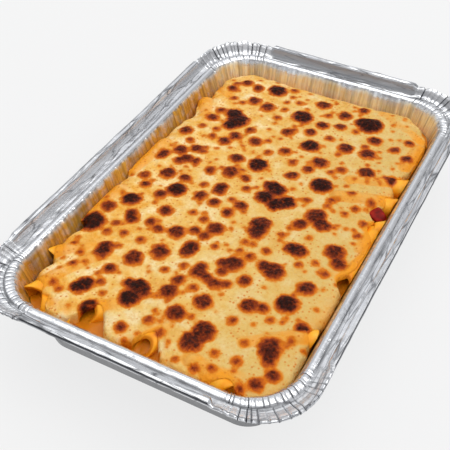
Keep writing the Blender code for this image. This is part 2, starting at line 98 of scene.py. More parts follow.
def smoothStep(t):
    t = np.clip(t, 0.0, 1.0)
    return t * t * (3 - 2 * t)


def rise(value, startAndWidth):
    # from 0 at the start to 1 a width further on
    return smoothStep((value - startAndWidth[0]) / startAndWidth[1])


def relief(x, y, size, seed):
    # soft random bumps of about -1 to 1, whose width is size in the units of x and y
    table = np.random.default_rng(seed).uniform(-1, 1, (64, 64))
    px, py = np.asarray(x) / size, np.asarray(y) / size
    ix, iy = np.floor(px).astype(int), np.floor(py).astype(int)
    fx, fy = smoothStep(px - ix), smoothStep(py - iy)
    low = table[ix % 64, iy % 64] * (1 - fx) + table[(ix + 1) % 64, iy % 64] * fx
    high = table[ix % 64, (iy + 1) % 64] * (1 - fx) + table[(ix + 1) % 64, (iy + 1) % 64] * fx
    return low * (1 - fy) + high * fy


def makePiece(name, points, faces, material, values=None, smoothAngle=None):
    # a mesh from points in mm, with named values per point for its material to read
    mesh = bpy.data.meshes.new(name)
    mesh.from_pydata((np.asarray(points) * mm).tolist(), [], [list(face) for face in faces])
    mesh.materials.append(material)
    for key, numbers in (values or {}).items():
        mesh.attributes.new(key, "FLOAT", "POINT").data.foreach_set("value", np.asarray(numbers, np.float32))
    mesh.update()
    mesh.shade_smooth()
    if smoothAngle:
        mesh.set_sharp_from_angle(angle=math.radians(smoothAngle))
    piece = bpy.data.objects.new(name, mesh)
    scene.collection.objects.link(piece)
    return piece


def gridFaces(rows, columns, closed):
    # quads between rows of points, the last column joined to the first where closed
    last = columns if closed else columns - 1
    faces = []
    for row in range(rows - 1):
        for column in range(last):
            after = (column + 1) % columns
            faces.append((row * columns + column, row * columns + after,
                          (row + 1) * columns + after, (row + 1) * columns + column))
    return faces


def closedFaces(rows, columns, start=0):
    # quads round a closed sweep whose first point has the number start, and a face over each end
    faces = gridFaces(rows, columns, True) + [tuple(reversed(range(columns)))]
    faces.append(tuple(range((rows - 1) * columns, rows * columns)))
    return [tuple(start + v for v in face) for face in faces]


# the foil tray: one section swept round the mouth, with folds pressed into the corners

tray = {
    "halfX": 67.5, "halfY": 110.4, "cornerRadius": 23.0,  # the mouth, mm
    "radiusOut": 0.25, "radiusIn": 0.85,  # how the corner's radius follows the offset
    # the wall's inner face: its foot's offset and height, its top's height, and how far it leans out
    "wallFoot": (-10.2, 4.5), "wallTop": 36.2, "wallRun": 9.3,
    "hemEndX": 44.0, "hemEndY": 84.0, "hemStep": 1.2,  # where the straight hem stops
    "longStations": 200, "shortStations": 104, "cornerStations": 160, "sideShare": 0.985,
    "beadFolds": 22, "hemFolds": 18,  # pleats in each corner: in the bead, and in the collar outside it
    "flutePitch": 3.2,  # from one flute of the straight wall to the next, mm
    "fluteSize": 2.6,  # width of the corner wall's fine flutes, mm
    "scallopPitch": 7.4,  # the wider waves that the wall makes under the bead, mm
    "hemShade": (0.1, 0.6, 0.3, 0.2),  # shadow on the hem's inner face: right, back, left and front
    "cornerShade": (0.65, 0.6, 0.35, 0.1),  # and at the corners after them
    "grooveShade": (1.0, 0.0, 0.3, 0.9),  # and in the groove between bead and flange
    "edgeShade": (0.4, 0.3, 0.8, 0.3),  # and in the dashes along the hem's top
    # steps of foilSection: the wall's head, the hem's foot, head, crest, top and gap, and the wall's back
    "wallHead": 6, "hemFoot": 12, "hemHead": 14, "crest": 15, "hemTop": 16, "gap": 19, "wallBack": 29,
    # start and width, mm, by height: of the rim, the wall's flutes, its pleats and its scallops
    "rimRise": (36.8, 1.0), "fluteRise": (4.5, 5.0), "pleatRise": (3, 10.0), "scallopRise": (20, 14.0),
    # by offset from the mouth: of the collar, the crinkles, the fold lines, the scuffs and the facets
    "collarRise": (3.9, 0.8), "crinkleRise": (2.6, 1.5), "lineRise": (1.0, 1.5), "scuffRise": (5.0, 1.5),
    "facetRise": (2.4, 1.2),
    "backRise": (70, 35), "foodLine": 34.5, "foodFade": 5.0,  # the fat's upper limit, lower towards the back
    "hiddenFlutes": 0.35,  # flutes are flatter on the sides that the photo doesn't show inside
    "grooveOut": 4.1, "notchHeight": 37.1,  # the middle of the groove and of the notches under the bead
    "top": 43.45,  # the highest pleat stays under the rim's own height
    "seed": 5,
}

# offset from the mouth and height on the hemmed stretches, the same at the corners, the pleats' depth, and
# the number of steps to the next
foilSection = [
    ((-30.0, 0.5), (-30.0, 0.5), 0.0, 1),
    ((-13.4, 0.5), (-13.4, 0.5), 0.0, 2),
    ((-11.1, 1.5), (-11.1, 1.5), 0.1, 2),
    ((-10.2, 4.5), (-10.2, 4.5), 0.3, 4),
    ((-4.9, 22.5), (-4.9, 22.5), 0.5, 8),
    ((-0.9, 36.2), (-0.9, 36.2), 0.6, 3),
    ((0.3, 37.8), (0.3, 37.8), 0.25, 2),
    ((0.9, 38.25), (0.9, 38.25), 0.2, 2),
    ((2.0, 38.5), (1.9, 38.5), 0.25, 2),
    ((3.3, 38.05), (3.1, 38.2), 0.35, 2),
    ((4.1, 37.4), (3.8, 37.6), 0.3, 2),
    ((4.9, 37.6), (4.9, 38.0), 0.6, 3),
    ((7.0, 37.75), (6.6, 38.7), 0.9, 2),
    ((7.4, 38.6), (7.6, 39.5), 1.0, 3),
    ((7.8, 42.2), (8.8, 40.5), 1.1, 2),
    ((8.4, 43.1), (9.8, 41.2), 1.1, 3),
    ((9.8, 43.4), (10.6, 41.5), 1.1, 1),
    ((10.6, 43.2), (11.0, 41.4), 0.9, 1),
    ((10.8, 42.8), (11.3, 41.1), 0.8, 1),
    ((9.8, 42.4), (11.3, 40.8), 0.8, 1),
    ((11.0, 41.9), (11.2, 40.6), 0.8, 1),
    ((11.2, 41.2), (11.1, 40.4), 0.8, 1),
    ((10.3, 40.9), (10.4, 40.1), 0.9, 1),
    ((8.9, 42.1), (9.6, 41.0), 1.0, 2),
    ((8.1, 41.3), (8.5, 40.2), 1.0, 3),
    ((7.4, 37.3), (6.9, 38.3), 0.9, 2),
    ((4.6, 36.9), (4.8, 37.2), 0.6, 2),
    ((3.1, 37.1), (3.2, 37.3), 0.35, 1),
    ((1.6, 37.7), (1.6, 37.8), 0.25, 1),
    ((0.7, 37.2), (0.7, 37.2), 0.25, 1),
    ((-0.4, 35.9), (-0.4, 35.9), 0.5, 6),
    ((-9.7, 4.3), (-9.7, 4.3), 0.3, 2),
    ((-10.5, 0.9), (-10.5, 0.9), 0.1, 1),
    ((-12.9, 0.05), (-12.9, 0.05), 0.0, 1),
    ((-30.0, 0.05), (-30.0, 0.05), 0.0, 1),
]


def ringRadius(out):
    return tray["cornerRadius"] + out * (tray["radiusOut"] if out > 0 else tray["radiusIn"])


def sweepStations():
    # every station round the tray as (kind, share, quarter) with the place of its folds
    stations = []
    for quarter in range(4):
        side = tray["longStations"] if quarter % 2 == 0 else tray["shortStations"]
        for i in range(side):
            stations.append(("side", -tray["sideShare"] + 2 * tray["sideShare"] * i / (side - 1), quarter))
        for i in range(tray["cornerStations"]):
            stations.append(("corner", i / (tray["cornerStations"] - 1), quarter))
    return stations


def stationPlace(station, out):
    # x, y and outward direction of a station on the outline at this offset, anticlockwise from the right side
    kind, share, quarter = station
    halfX, halfY = tray["halfX"] + out, tray["halfY"] + out
    radius = ringRadius(out)
    startX = min(tray["hemEndX"], halfX - radius)
    startY = min(tray["hemEndY"], halfY - radius)
    if kind == "side":
        if quarter == 0:
            return halfX, startY * share, 1, 0
        if quarter == 1:
            return -startX * share, halfY, 0, 1
        if quarter == 2:
            return -halfX, -startY * share, -1, 0
        return startX * share, -halfY, 0, -1
    if quarter in (1, 3):
        share = 1 - share
    stepX, stepY = startX + tray["hemStep"], startY + tray["hemStep"]
    first = max(halfY - radius - stepY, 0)
    arc = radius * math.pi / 2
    last = max(halfX - radius - stepX, 0)
    along = share * (first + arc + last)
    if along <= first:
        x, y, angle = halfX, stepY + along, 0
    elif along >= first + arc:
        x, y, angle = halfX - radius - (along - first - arc), halfY, math.pi / 2
    else:
        angle = (along - first) / radius
        x = halfX - radius + radius * math.cos(angle)
        y = halfY - radius + radius * math.sin(angle)
    signX = 1 if quarter in (0, 3) else -1
    signY = 1 if quarter in (0, 1) else -1
    return x * signX, y * signY, math.cos(angle) * signX, math.sin(angle) * signY


def foldPattern(stations, folds, seed):
    # per station: how high its pleat stands, from uneven pleats with flat tilted tops and tight creases
    rng = np.random.default_rng(seed)
    pleat = np.zeros(len(stations))
    for quarter in range(4):
        widths = rng.uniform(0.55, 1.45, folds)
        ends = np.concatenate([[0], np.cumsum(widths)])
        ends /= ends[-1]
        tilts = rng.uniform(-1, 1, folds)
        heights = rng.uniform(-0.35, 0.35, folds)
        for i, (kind, share, own) in enumerate(stations):
            if kind == "corner" and own == quarter:
                k = min(int(np.searchsorted(ends, share, side="right")) - 1, folds - 1)
                within = (share - ends[k]) / (ends[k + 1] - ends[k])
                crease = math.exp(-(min(within, 1 - within) / 0.13) ** 2)
                fade = smoothStep(min(share, 1 - share) / 0.03)
                pleat[i] = (heights[k] + tilts[k] * (within - 0.5) * 1.3 - crease + 0.4) * fade
    return pleat


def rowOf(step):
    # the row of the sweep that a step of foilSection begins
    return sum(section[3] for section in foilSection[:step])


def makeTray(material):
    stations = sweepStations()
    seed = tray["seed"]
    beadPleat = foldPattern(stations, tray["beadFolds"], seed)
    hemPleat = foldPattern(stations, tray["hemFolds"], seed + 20)
    quarter = np.array([s[2] for s in stations])
    corner = np.array([1.0 if s[0] == "corner" else 0.0 for s in stations])
    seen = np.where((corner > 0) | (quarter == 1) | (quarter == 2), 1.0, tray["hiddenFlutes"])
    hemShade, edgeShade, cornerShade, grooveShade = [
        np.array(tray[key])[quarter] for key in ("hemShade", "edgeShade", "cornerShade", "grooveShade")]
    # distance walked round the mouth, which the flutes and crinkles follow
    mouth = np.array([stationPlace(s, 0.0)[:2] for s in stations])
    steps = np.linalg.norm(np.roll(mouth, -1, axis=0) - mouth, axis=1)
    walked = np.concatenate([[0], np.cumsum(steps)[:-1]])
    turns = 2 * math.pi * walked
    # rows of the section, with the steps between its corners filled in
    rows = []
    for here, after in zip(foilSection, foilSection[1:]):
        for k in range(here[3]):
            t = k / here[3]
            places = [tuple(a + (b - a) * t for a, b in zip(here[j], after[j])) for j in (0, 1)]
            rows.append((*places, here[2] + (after[2] - here[2]) * t))
    rows.append(foilSection[-1][:3])
    innerRows, crestRow, topRow, gapRow, outerRows = [
        rowOf(tray[key]) for key in ("wallHead", "crest", "hemTop", "gap", "wallBack")]
    hemRows = range(rowOf(tray["hemFoot"]), rowOf(tray["hemHead"]) + 1)
    lengths = [math.hypot(b[0][0] - a[0][0], b[0][1] - a[0][1]) for a, b in zip(rows, rows[1:])]
    path = np.concatenate([[0], np.cumsum(lengths)])  # distance walked over the section
    points, values = [], {}
    for r, ((hemOut, hemZ), (cornerOut, cornerZ), depth) in enumerate(rows):
        hemRing, cornerRing = [
            np.array([stationPlace(s, offset) for s in stations], float) for offset in (hemOut, cornerOut)]
        ring = np.where(corner[:, None] > 0, cornerRing, hemRing)
        z = np.where(corner > 0, cornerZ, hemZ)
        out = np.where(corner > 0, cornerOut, hemOut)
        inside = 1.0 if r < innerRows else 0.0
        onRim = rise(z, tray["rimRise"])
        atBack = rise(ring[:, 1], tray["backRise"])
        collar = rise(cornerOut, tray["collarRise"])
        pleat = beadPleat * (1 - collar) + hemPleat * collar
        # folds: pleats stand up on the rim, and run down the corner's wall as flutes
        fine = relief(walked, hemZ * 0.08, tray["fluteSize"] / 2, seed + 1)
        wave = np.sin(turns / tray["flutePitch"] + 1.6 * relief(walked, 0.0, 17.0, seed + 6))
        scallop = np.sin(turns / tray["scallopPitch"] + 2.2 * relief(walked, 0.0, 31.0, seed + 7))
        flute = np.where(corner > 0, 0.5 * fine, 0.30 * np.sign(wave) * np.abs(wave) ** 0.7 + 0.12 * fine)
        flute = (flute + 0.25 * scallop * (1 - corner) * rise(hemZ, tray["scallopRise"])) * seen
        wallFlute = flute * rise(hemZ, tray["fluteRise"]) * (1 - onRim)
        wallPleat = pleat * 0.5 * corner * (1 - onRim) * rise(hemZ, tray["pleatRise"])
        # crinkles on the rim: long thin creases along the sides, short ones in the corners
        longCrease = np.abs(relief(walked / 9.0 + out * 0.35, out * 0.30, 1.0, seed + 2))
        crease = longCrease + 0.6 * np.abs(relief(walked / 4.0 - out * 0.5, out * 0.45, 1.0, seed + 3))
        crinkle = 0.32 * (crease - 0.5) * rise(out, tray["crinkleRise"])
        lift = onRim * (pleat * depth * 0.85 * corner + crinkle)
        wobble = 0.25 * relief(walked, 0.0, 21.0, seed + 4) * onRim
        push = wallFlute * 0.8 + wallPleat * 0.6 + onRim * pleat * depth * 0.25 * corner + wobble * 0.5
        xy = ring[:, :2] + ring[:, 2:] * push[:, None]
        points.append(np.column_stack([xy, z + lift + wobble * 0.3]))
        foodLine = tray["foodLine"] - 1.5 * atBack + 1.5 * relief(walked, 0.0, 9.0, seed + 5)
        greased = inside * (1 - rise(z, (foodLine, tray["foodFade"]))) * (1 - onRim)
        # painted shade: dark lines where the foil is folded on itself, along the rim's long creases, between
        # the wall's flutes, and in the groove
        paintedShade = np.clip(-pleat - 0.15, 0, 1) * corner * onRim * 1.6
        thinLine = smoothStep((0.06 - longCrease) / 0.05) * onRim * rise(out, tray["lineRise"]) * 0.6
        fluteLine = inside * smoothStep((-fine - 0.05) / 0.35) * 0.3 * (1 - onRim)
        groove = np.exp(-((out - tray["grooveOut"]) / 0.55) ** 2)
        groove = groove * (0.65 + 0.6 * relief(walked, 0.0, 5.0, seed + 8))
        groove = np.clip(grooveShade * groove * onRim * (r < crestRow), 0, 1)
        # dashes of shadow where the flutes meet the bead, and along the hem's top
        notch = inside * np.exp(-((z - tray["notchHeight"]) / 0.45) ** 2)
        notch = notch * smoothStep((0.1 - fine) / 0.3) * 0.85
        dash = 0.55 + 0.6 * relief(walked, out * 1.4, 5.0, seed + 9)
        dash = edgeShade * (1 - corner) * dash * (r == topRow)
        for line in (thinLine, fluteLine, groove, notch, dash):
            paintedShade = np.maximum(paintedShade, line)
        # painted shade in the gap under the hem's lip
        if r in (gapRow, gapRow + 1):
            paintedShade = np.maximum(paintedShade, 1 - corner)
        if r in hemRows:  # the hem's inner face lies in shadow
            paintedShade = np.maximum(paintedShade, np.where(corner > 0, cornerShade, hemShade))
        # frost: scuffed foil in the collars and on the hem's inner face, which mirrors less of the food
        scuffs = corner * rise(out, tray["scuffRise"]) * (r <= crestRow)
        frost = np.maximum(scuffs, 1.0 * (r in hemRows)) * onRim
        own = {"stain": greased * (1 - 0.1 * atBack), "outside": 1.0 if r >= outerRows else 0.0,
               "shade": paintedShade, "along": walked, "across": path[r],
               "rim": onRim * rise(out, tray["facetRise"]), "frost": frost}
        for key, numbers in own.items():
            values.setdefault(key, []).append(np.broadcast_to(numbers, len(z)))
    points = np.concatenate(points)
    points[:, 2] = np.clip(points[:, 2], 0.0, tray["top"])
    faces = [tuple(reversed(face)) for face in closedFaces(len(rows), len(stations))]
    values = {key: np.concatenate(numbers) for key, numbers in values.items()}
    return makePiece("pressed_foil_tray", points, faces, material, values, 32)


def foilMaterial():
    # aluminium foil, cold rolled and pressed: mirror-bright on flat facets, broken up by creases
    material, tree, shader, place = newMaterial("aluminium foil, rolled and pressed")
    along, across, rim, outside, stain, shade, frost = readValues(
        tree, "along", "across", "rim", "outside", "stain", "shade", "frost")
    crinkle = addNode(tree, "TexNoise", {"Scale": 1 / 0.0035, "Detail": 4.0, "Roughness": 0.6},
                      {"Vector": place})  # creases about 3.5 mm apart
    # rolling grain, drawn coarser than real to show
    rolled = addNode(tree, "TexNoise", {"Scale": 1 / 0.0009, "Detail": 2.0}, {"Vector": place})
    drawn = addNode(tree, "Math", {"operation": "MULTIPLY", 1: 0.08}, {0: along})
    unrolled = addNode(tree, "CombineXYZ", None, {0: drawn, 1: across})
    bent = addNode(tree, "TexNoise", {"Scale": 0.45, "Detail": 2.0}, {"Vector": unrolled})
    warped = addNode(tree, "VectorMath", {"operation": "MULTIPLY_ADD", 1: (1.2, 1.0, 0.0)},
                     {0: bent.outputs["Color"], 2: unrolled})
    facets = addNode(tree, "TexVoronoi", {"Scale": 1 / 2.2}, {"Vector": warped})
    seams = addNode(tree, "TexVoronoi", {"feature": "DISTANCE_TO_EDGE", "Scale": 1 / 2.2}, {"Vector": warped})
    seamShade = addNode(tree, "MapRange",
                       {"From Min": 0.01, "From Max": 0.08, "To Min": 0.75, "To Max": 0.0},
                       {"Value": seams})
    lines = addNode(tree, "Math", {"operation": "MULTIPLY"}, {0: seamShade, 1: rim})
    facetLot = addNode(tree, "SeparateColor", None, {0: facets.outputs["Color"]})
    facetDim = addNode(tree, "MapRange", {"From Min": 0.55, "To Max": 0.4}, {"Value": facetLot})
    dimmed = addNode(tree, "Math", {"operation": "MULTIPLY"}, {0: facetDim, 1: rim})
    tented = addNode(tree, "Math", {"operation": "MULTIPLY"}, {0: facets, 1: rim})
    surface = addNode(tree, "Math", {"operation": "MULTIPLY_ADD", 1: 0.35}, {0: rolled, 2: crinkle})
    height = addNode(tree, "Math", {"operation": "MULTIPLY_ADD", 1: 1.2}, {0: tented, 2: surface})
    bump = addNode(tree, "Bump", {"Strength": 0.25, "Distance": 0.0005}, {"Height": height})
    dull = addNode(tree, "MapRange", {"To Min": 0.07, "To Max": 0.22}, {"Value": crinkle})
    duller = addNode(tree, "Math", {"operation": "MULTIPLY_ADD", 1: 0.2}, {0: outside, 2: dull})
    streaks = addNode(tree, "TexNoise", {"Scale": 1 / 0.004, "Detail": 3.0}, {"Vector": place})
    amount = addNode(tree, "Math", {"operation": "MULTIPLY", "use_clamp": True}, {0: stain, 1: streaks})
    stronger = addNode(tree, "Math", {"operation": "MULTIPLY", 1: 1.9, "use_clamp": True}, {0: amount})
    sides = addNode(tree, "Mix", {"data_type": "RGBA", 6: linear("#f1f2f4"), 7: linear("#7c7d80")},
                    {0: outside})  # the matt side of the foil is outside, its darker grey painted shade
    where = addNode(tree, "SeparateXYZ", None, {0: place})
    atBack = addNode(tree, "MapRange", {"From Min": 0.07, "From Max": 0.1}, {"Value": where.outputs["Y"]})
    # browner in the near corners, paler and yellower on the back wall
    fat = addNode(tree, "Mix", {"data_type": "RGBA", 6: linear("#d6a03a"), 7: linear("#ffe8ac")}, {0: atBack})
    colour = addNode(tree, "Mix", {"data_type": "RGBA"}, {0: stronger, 6: sides, 7: fat})
    # on the rim: facets about 2 mm wide and a dozen times as long, each painted lighter or darker to stand in
    # for what it mirrors, with painted shade in the creases between them
    rimmed = addNode(tree, "Mix", {"data_type": "RGBA", 7: linear("#8e9095")}, {0: dimmed, 6: colour})
    shaded = addNode(tree, "Math", {"operation": "MAXIMUM"}, {0: shade, 1: lines})
    # down the wall: fine upright flutes under 2 mm apart, with painted shade between them, brown like the fat
    low = addNode(tree, "Math", {"operation": "MULTIPLY", 1: 0.07}, {0: across})
    combed = addNode(tree, "CombineXYZ", None, {0: along, 1: low})
    flutes = addNode(tree, "TexNoise", {"Scale": 0.62, "Detail": 3.0, "Roughness": 0.6}, {"Vector": combed})
    between = addNode(tree, "MapRange", {"From Min": 0.42, "From Max": 0.56, "To Min": 0.45, "To Max": 0.0},
                      {"Value": flutes})
    hollowShade = addNode(tree, "Math", {"operation": "MULTIPLY"}, {0: between, 1: stain})
    ribbed = addNode(tree, "Mix", {"data_type": "RGBA", "blend_type": "MULTIPLY", 7: linear("#bc8e50")},
                     {0: hollowShade, 6: rimmed})
    # painted shade: the shade values and the seam lines darken the colour towards a dark grey
    shadePainted = addNode(tree, "Mix", {"data_type": "RGBA", "blend_type": "MULTIPLY", 7: linear("#44454a")},
                      {0: shaded, 6: ribbed})
    creaseDull = addNode(tree, "Math", {"operation": "MULTIPLY_ADD", 1: 0.3}, {0: shaded, 2: duller})
    greasy = addNode(tree, "Math", {"operation": "MULTIPLY_ADD", 1: 0.4}, {0: stronger, 2: creaseDull})
    bare = addNode(tree, "MapRange", {"To Min": 1.0, "To Max": 0.25}, {"Value": stronger})
    unshaded = addNode(tree, "MapRange", {"To Min": 1.0, "To Max": 0.25}, {"Value": shade})
    mirror = addNode(tree, "Math", {"operation": "MULTIPLY"}, {0: bare, 1: unshaded})
    scuffed = addNode(tree, "MapRange", {"To Min": 1.0, "To Max": 0.4}, {"Value": frost})
    metal = addNode(tree, "Math", {"operation": "MULTIPLY"}, {0: mirror, 1: scuffed})
    fillNode(tree, shader, None,
             {"Base Color": shadePainted, "Roughness": greasy, "Normal": bump, "Metallic": metal})
    return material


# tubes of penne that show at the topping's edge, over the bed in the tray

pasta = {
    "radius": 4.7, "bore": 2.9, "cut": math.radians(42), "sides": 40, "steps": 26,
    # the bore's depth as a share of the length, and the cut edge's rounding and lip, mm
    "boreDepth": 0.42, "rounding": 0.15, "lip": 0.4,
    # what lies beyond these x and y is pressed back from the foil
    "pressGap": 0.5, "pressX": 45, "pressY": 90, "presses": 3,
    "bedMiddle": 27.5, "bedEdge": 25.5, "bedSlope": 14.0, "clearance": 0.7,
    "bedColumns": 110, "bedRows": 180, "bedInset": 4.9, "bedLift": 0.4,
    "sauceCoat": 0.35,  # between a tube and the cheese over it, mm
    "brownRise": (28.5, 2.0),  # only what reaches up into the cheese is browned
    "seed": 8,
}

# open end's x, y, z in mm, heading and dip in degrees, length in mm, turn of the cut in degrees
penne = [
    (-63.8, -75.0, 28.3, 38, 4, 28, 210), (-57.5, -98.0, 28.0, 65, 0, 32, 180),
    (-52.5, -100.0, 26.5, -4, 0, 16, 150), (-29.0, -96.5, 28.4, 40, 6, 28, 110),
    (1.5, -101.0, 28.3, 68, 6, 28, 100), (33.0, -102.5, 27.6, 25, 8, 24, 90),
    (45.0, -102.5, 27.5, 172, 0, 22, 0), (61.5, -66.0, 28.4, 215, 3, 28, 300),
    (61.0, -29.5, 28.0, 75, 0, 24, 90), (59.5, 8.0, 28.2, 40, 0, 12, 45), (61.0, -8.0, 27.6, 85, 0, 14, 60),
    (66.0, 32.2, 27.6, 202, -3, 30, 20), (66.0, 49.2, 27.4, 207, -2, 30, 340),
    (34.0, 99.5, 26.8, -30, 0, 30, 300), (61.5, 77.0, 28.0, 262, 0, 18, 0),
    (-60.0, 64.0, 28.8, -60, 6, 24, 180), (-60.3, 19.0, 28.8, 264, 3, 26, 160),
    (-60.2, -24.0, 28.4, 264, 3, 24, 140), (-57.5, 79.0, 27.0, -30, 2, 26, 140),
]


def wallOut(z):
    # offset of the foil's inner face from the mouth at this height
    footOut, footHeight = tray["wallFoot"]
    return footOut + (z - footHeight) / (tray["wallTop"] - footHeight) * tray["wallRun"]


def wallInset(x, y, out):
    # how far a point lies inside the outline at this offset, which is 0 or inwards
    halfX, halfY = tray["halfX"] + out, tray["halfY"] + out
    radius = tray["cornerRadius"] + out * tray["radiusIn"]
    overX, overY = np.abs(x) - (halfX - radius), np.abs(y) - (halfY - radius)
    outside = np.hypot(np.maximum(overX, 0), np.maximum(overY, 0))
    return radius - outside - np.minimum(np.maximum(overX, overY), 0)


def bedHeight(x, y):
    inset = wallInset(x, y, wallOut(pasta["bedEdge"]) - pasta["clearance"])
    return pasta["bedEdge"] + (pasta["bedMiddle"] - pasta["bedEdge"]) * smoothStep(inset / pasta["bedSlope"])


def tubePoints(tube, rng):
    # one tube's points, row by row: up the bore, over the cut end, along the outside, and down the other bore
    x, y, z, heading, dip, length, turn = tube
    depth, lean = length * pasta["boreDepth"], math.tan(pasta["cut"])
    outer, bore, lip, rounding = pasta["radius"], pasta["bore"], pasta["lip"], pasta["rounding"]
    angles = np.linspace(0, 2 * math.pi, pasta["sides"], endpoint=False)
    middle = (bore + outer) / 2
    rows = [(depth, bore, 0.0)]
    rows += [(lip, bore, 1.0), (0.0, bore + rounding, 1.0), (-0.1, middle, 1.0), (0.0, outer - rounding, 1.0)]
    shares = np.linspace(0, 1, pasta["steps"])
    rows += [(lip + (length - 2 * lip) * t, outer, abs(1 - 2 * t) ** 0.5) for t in shares]
    rows += [(length, outer - rounding, 1.0), (length + 0.1, middle, 1.0), (length, bore + rounding, 1.0)]
    rows += [(length - lip, bore, 1.0), (length - depth, bore, 0.0)]
    phase = rng.uniform(0, 100)
    sag = rng.uniform(-0.5, 0.5)
    points, inner = [], []
    for along, radius, slanted in rows:
        slant = lean * radius * np.cos(angles - math.radians(turn)) * slanted
        px = along + slant
        wave = 1 + 0.02 * relief(px + phase, angles * 4.0, 5.0, pasta["seed"])
        py, pz = radius * wave * np.cos(angles), radius * wave * np.sin(angles) * 0.97
        bend = sag * ((px / length - 0.5) ** 2 - 0.25)
        points.append(np.column_stack([px, py + bend, pz]))
        # the bore's inside is marked for the deeper colour, which is partly painted shade
        inner.append(np.full(len(angles), 1.0 if radius < outer - 0.5 else 0.0))
    points = np.concatenate(points)
    h, d = math.radians(heading), math.radians(dip)
    turnZ = np.array([[math.cos(h), -math.sin(h), 0], [math.sin(h), math.cos(h), 0], [0, 0, 1]])
    turnY = np.array([[math.cos(d), 0, math.sin(d)], [0, 1, 0], [-math.sin(d), 0, math.cos(d)]])
    return points @ (turnZ @ turnY).T + np.array([x, y, z]), np.concatenate(inner), len(rows)


def makePasta(material):
    rng = np.random.default_rng(pasta["seed"])
    points, faces, inner = [], [], []
    total = 0
    for tube in penne:
        own, bores, rows = tubePoints(tube, rng)
        # what would pass through the foil is pressed back against it
        for _ in range(pasta["presses"]):
            x, y = own[:, 0], own[:, 1]
            push = np.maximum(-wallInset(x, y, wallOut(own[:, 2]) - pasta["pressGap"]), 0)
            own[:, 0] -= np.sign(x) * push * (np.abs(x) > pasta["pressX"])
            own[:, 1] -= np.sign(y) * push * (np.abs(y) > pasta["pressY"]) * (np.abs(x) <= pasta["pressX"])
        points.append(own)
        inner.append(bores)
        faces += closedFaces(rows, pasta["sides"], total)
        total += len(own)
    # the bed of sauce and pasta under them
    columns, rows = pasta["bedColumns"], pasta["bedRows"]
    u, v = np.meshgrid(np.linspace(-1, 1, columns), np.linspace(-1, 1, rows))
    reach = np.maximum(np.abs(u), np.abs(v))
    bx, by, nx, ny = borderPlace(u, v)
    inset = pasta["bedInset"] - 0.3 * reach
    x, y = (bx - nx * inset) * reach, (by - ny * inset) * reach
    z = bedHeight(x, y) + 0.7 * relief(x, y, 6.0, 21) + 0.35 * relief(x, y, 2.4, 22) + pasta["bedLift"]
    bed = np.column_stack([x.ravel(), y.ravel(), z.ravel()])
    points.append(bed)
    inner.append(np.full(len(bed), 1.0))
    faces += [tuple(total + v for v in f) for f in gridFaces(rows, columns, False)]
    points = np.concatenate(points)
    brown = browningField(points[:, 0], points[:, 1])[0] * rise(points[:, 2], pasta["brownRise"])
    values = {"inner": np.concatenate(inner), "brown": brown}
    return makePiece("penne_and_sauce", points, faces, material, values, 50)


def pastaMaterial():
    # durum wheat penne, boiled, then baked in tomato and cheese sauce: wet, orange, a little translucent
    material, tree, shader, place = newMaterial("cooked penne in tomato and cheese sauce")
    inner, brown = readValues(tree, "inner", "brown")
    # patches of thicker sauce about 6 mm wide
    coat = addNode(tree, "TexNoise", {"Scale": 1 / 0.006, "Detail": 4.0}, {"Vector": place})
    colour = rampColours(addNode(tree, "ValToRGB", None, {"Fac": coat}),
                         [(0.30, "#f29210"), (0.45, "#f8a41c"), (0.60, "#fcb42c"), (0.75, "#fcc250")])
    # the bores and the bed under the tubes in a deeper orange: thicker sauce, and painted shade in the
    # hollows
    deep = addNode(tree, "Mix", {"data_type": "RGBA", 7: linear("#cc7806")}, {0: inner, 6: colour})
    grain = addNode(tree, "TexNoise", {"Scale": 1 / 0.0016, "Detail": 3.0}, {"Vector": place})
    bump = addNode(tree, "Bump", {"Strength": 0.4, "Distance": 0.0004}, {"Height": grain})
    burnt = rampColours(addNode(tree, "ValToRGB", None, {"Fac": brown}),
                        [(0.1, "#f0951a"), (0.35, "#c45a10"), (0.6, "#6e260c"), (0.9, "#34120a")])
    cover = addNode(tree, "MapRange", {"From Min": 0.05, "From Max": 0.3}, {"Value": brown})
    baked = addNode(tree, "Mix", {"data_type": "RGBA"}, {0: cover, 6: deep, 7: burnt})
    fillNode(tree, shader, {
        "Roughness": 0.42, "Specular IOR Level": 0.3, "IOR": 1.45,
        "Subsurface Weight": 0.15, "Subsurface Radius": (1.0, 0.5, 0.2), "Subsurface Scale": 0.002,
    }, {"Base Color": baked, "Normal": bump})
    return material


# the cheese topping, browned in blisters

cheese = {
    "columns": 232, "rows": 376,
    "top": 32.2, "dome": 1.0, "inset": 2.7, "skirt": 3.0,
    "fallFar": 1.4, "fallNear": 0.4,
    "ridgeCount": 34, "ridgeLength": 26.0, "ridgeLift": 0.9, "ridgeSpread": 22.0, "ridgeSeed": 11,
    "ridgeX": (-54, 54), "ridgeY": (-96, 92),
    "blisterLift": 0.28, "shiftX": 0.65, "shiftY": -1.55,
    "charSteps": (-2.4, -1.4, -0.85, -0.3, 0.5, 2.0),  # mm outwards from a blister's edge
    "charLevels": (1.0, 0.88, 0.69, 0.46, 0.21, 0.0),  # and how browned it is there
    "groupDark": (0.93, 0.70, 0.52),  # the charred, the browned and the toasted spots
    "edgeWidth": 3.2, "film": 0.9, "leastInset": 2.2, "wallGap": 0.35,
    # small spots strewn between the others: how many, where, how large, how far apart and how dark
    "scatterCount": 190, "scatterTries": 6000, "scatterX": 62, "scatterY": 104,
    "scatterRadius": (0.5, 1.2), "scatterGap": 0.6, "scatterDark": (0.28, 0.55), "scatterSeed": 3,
}

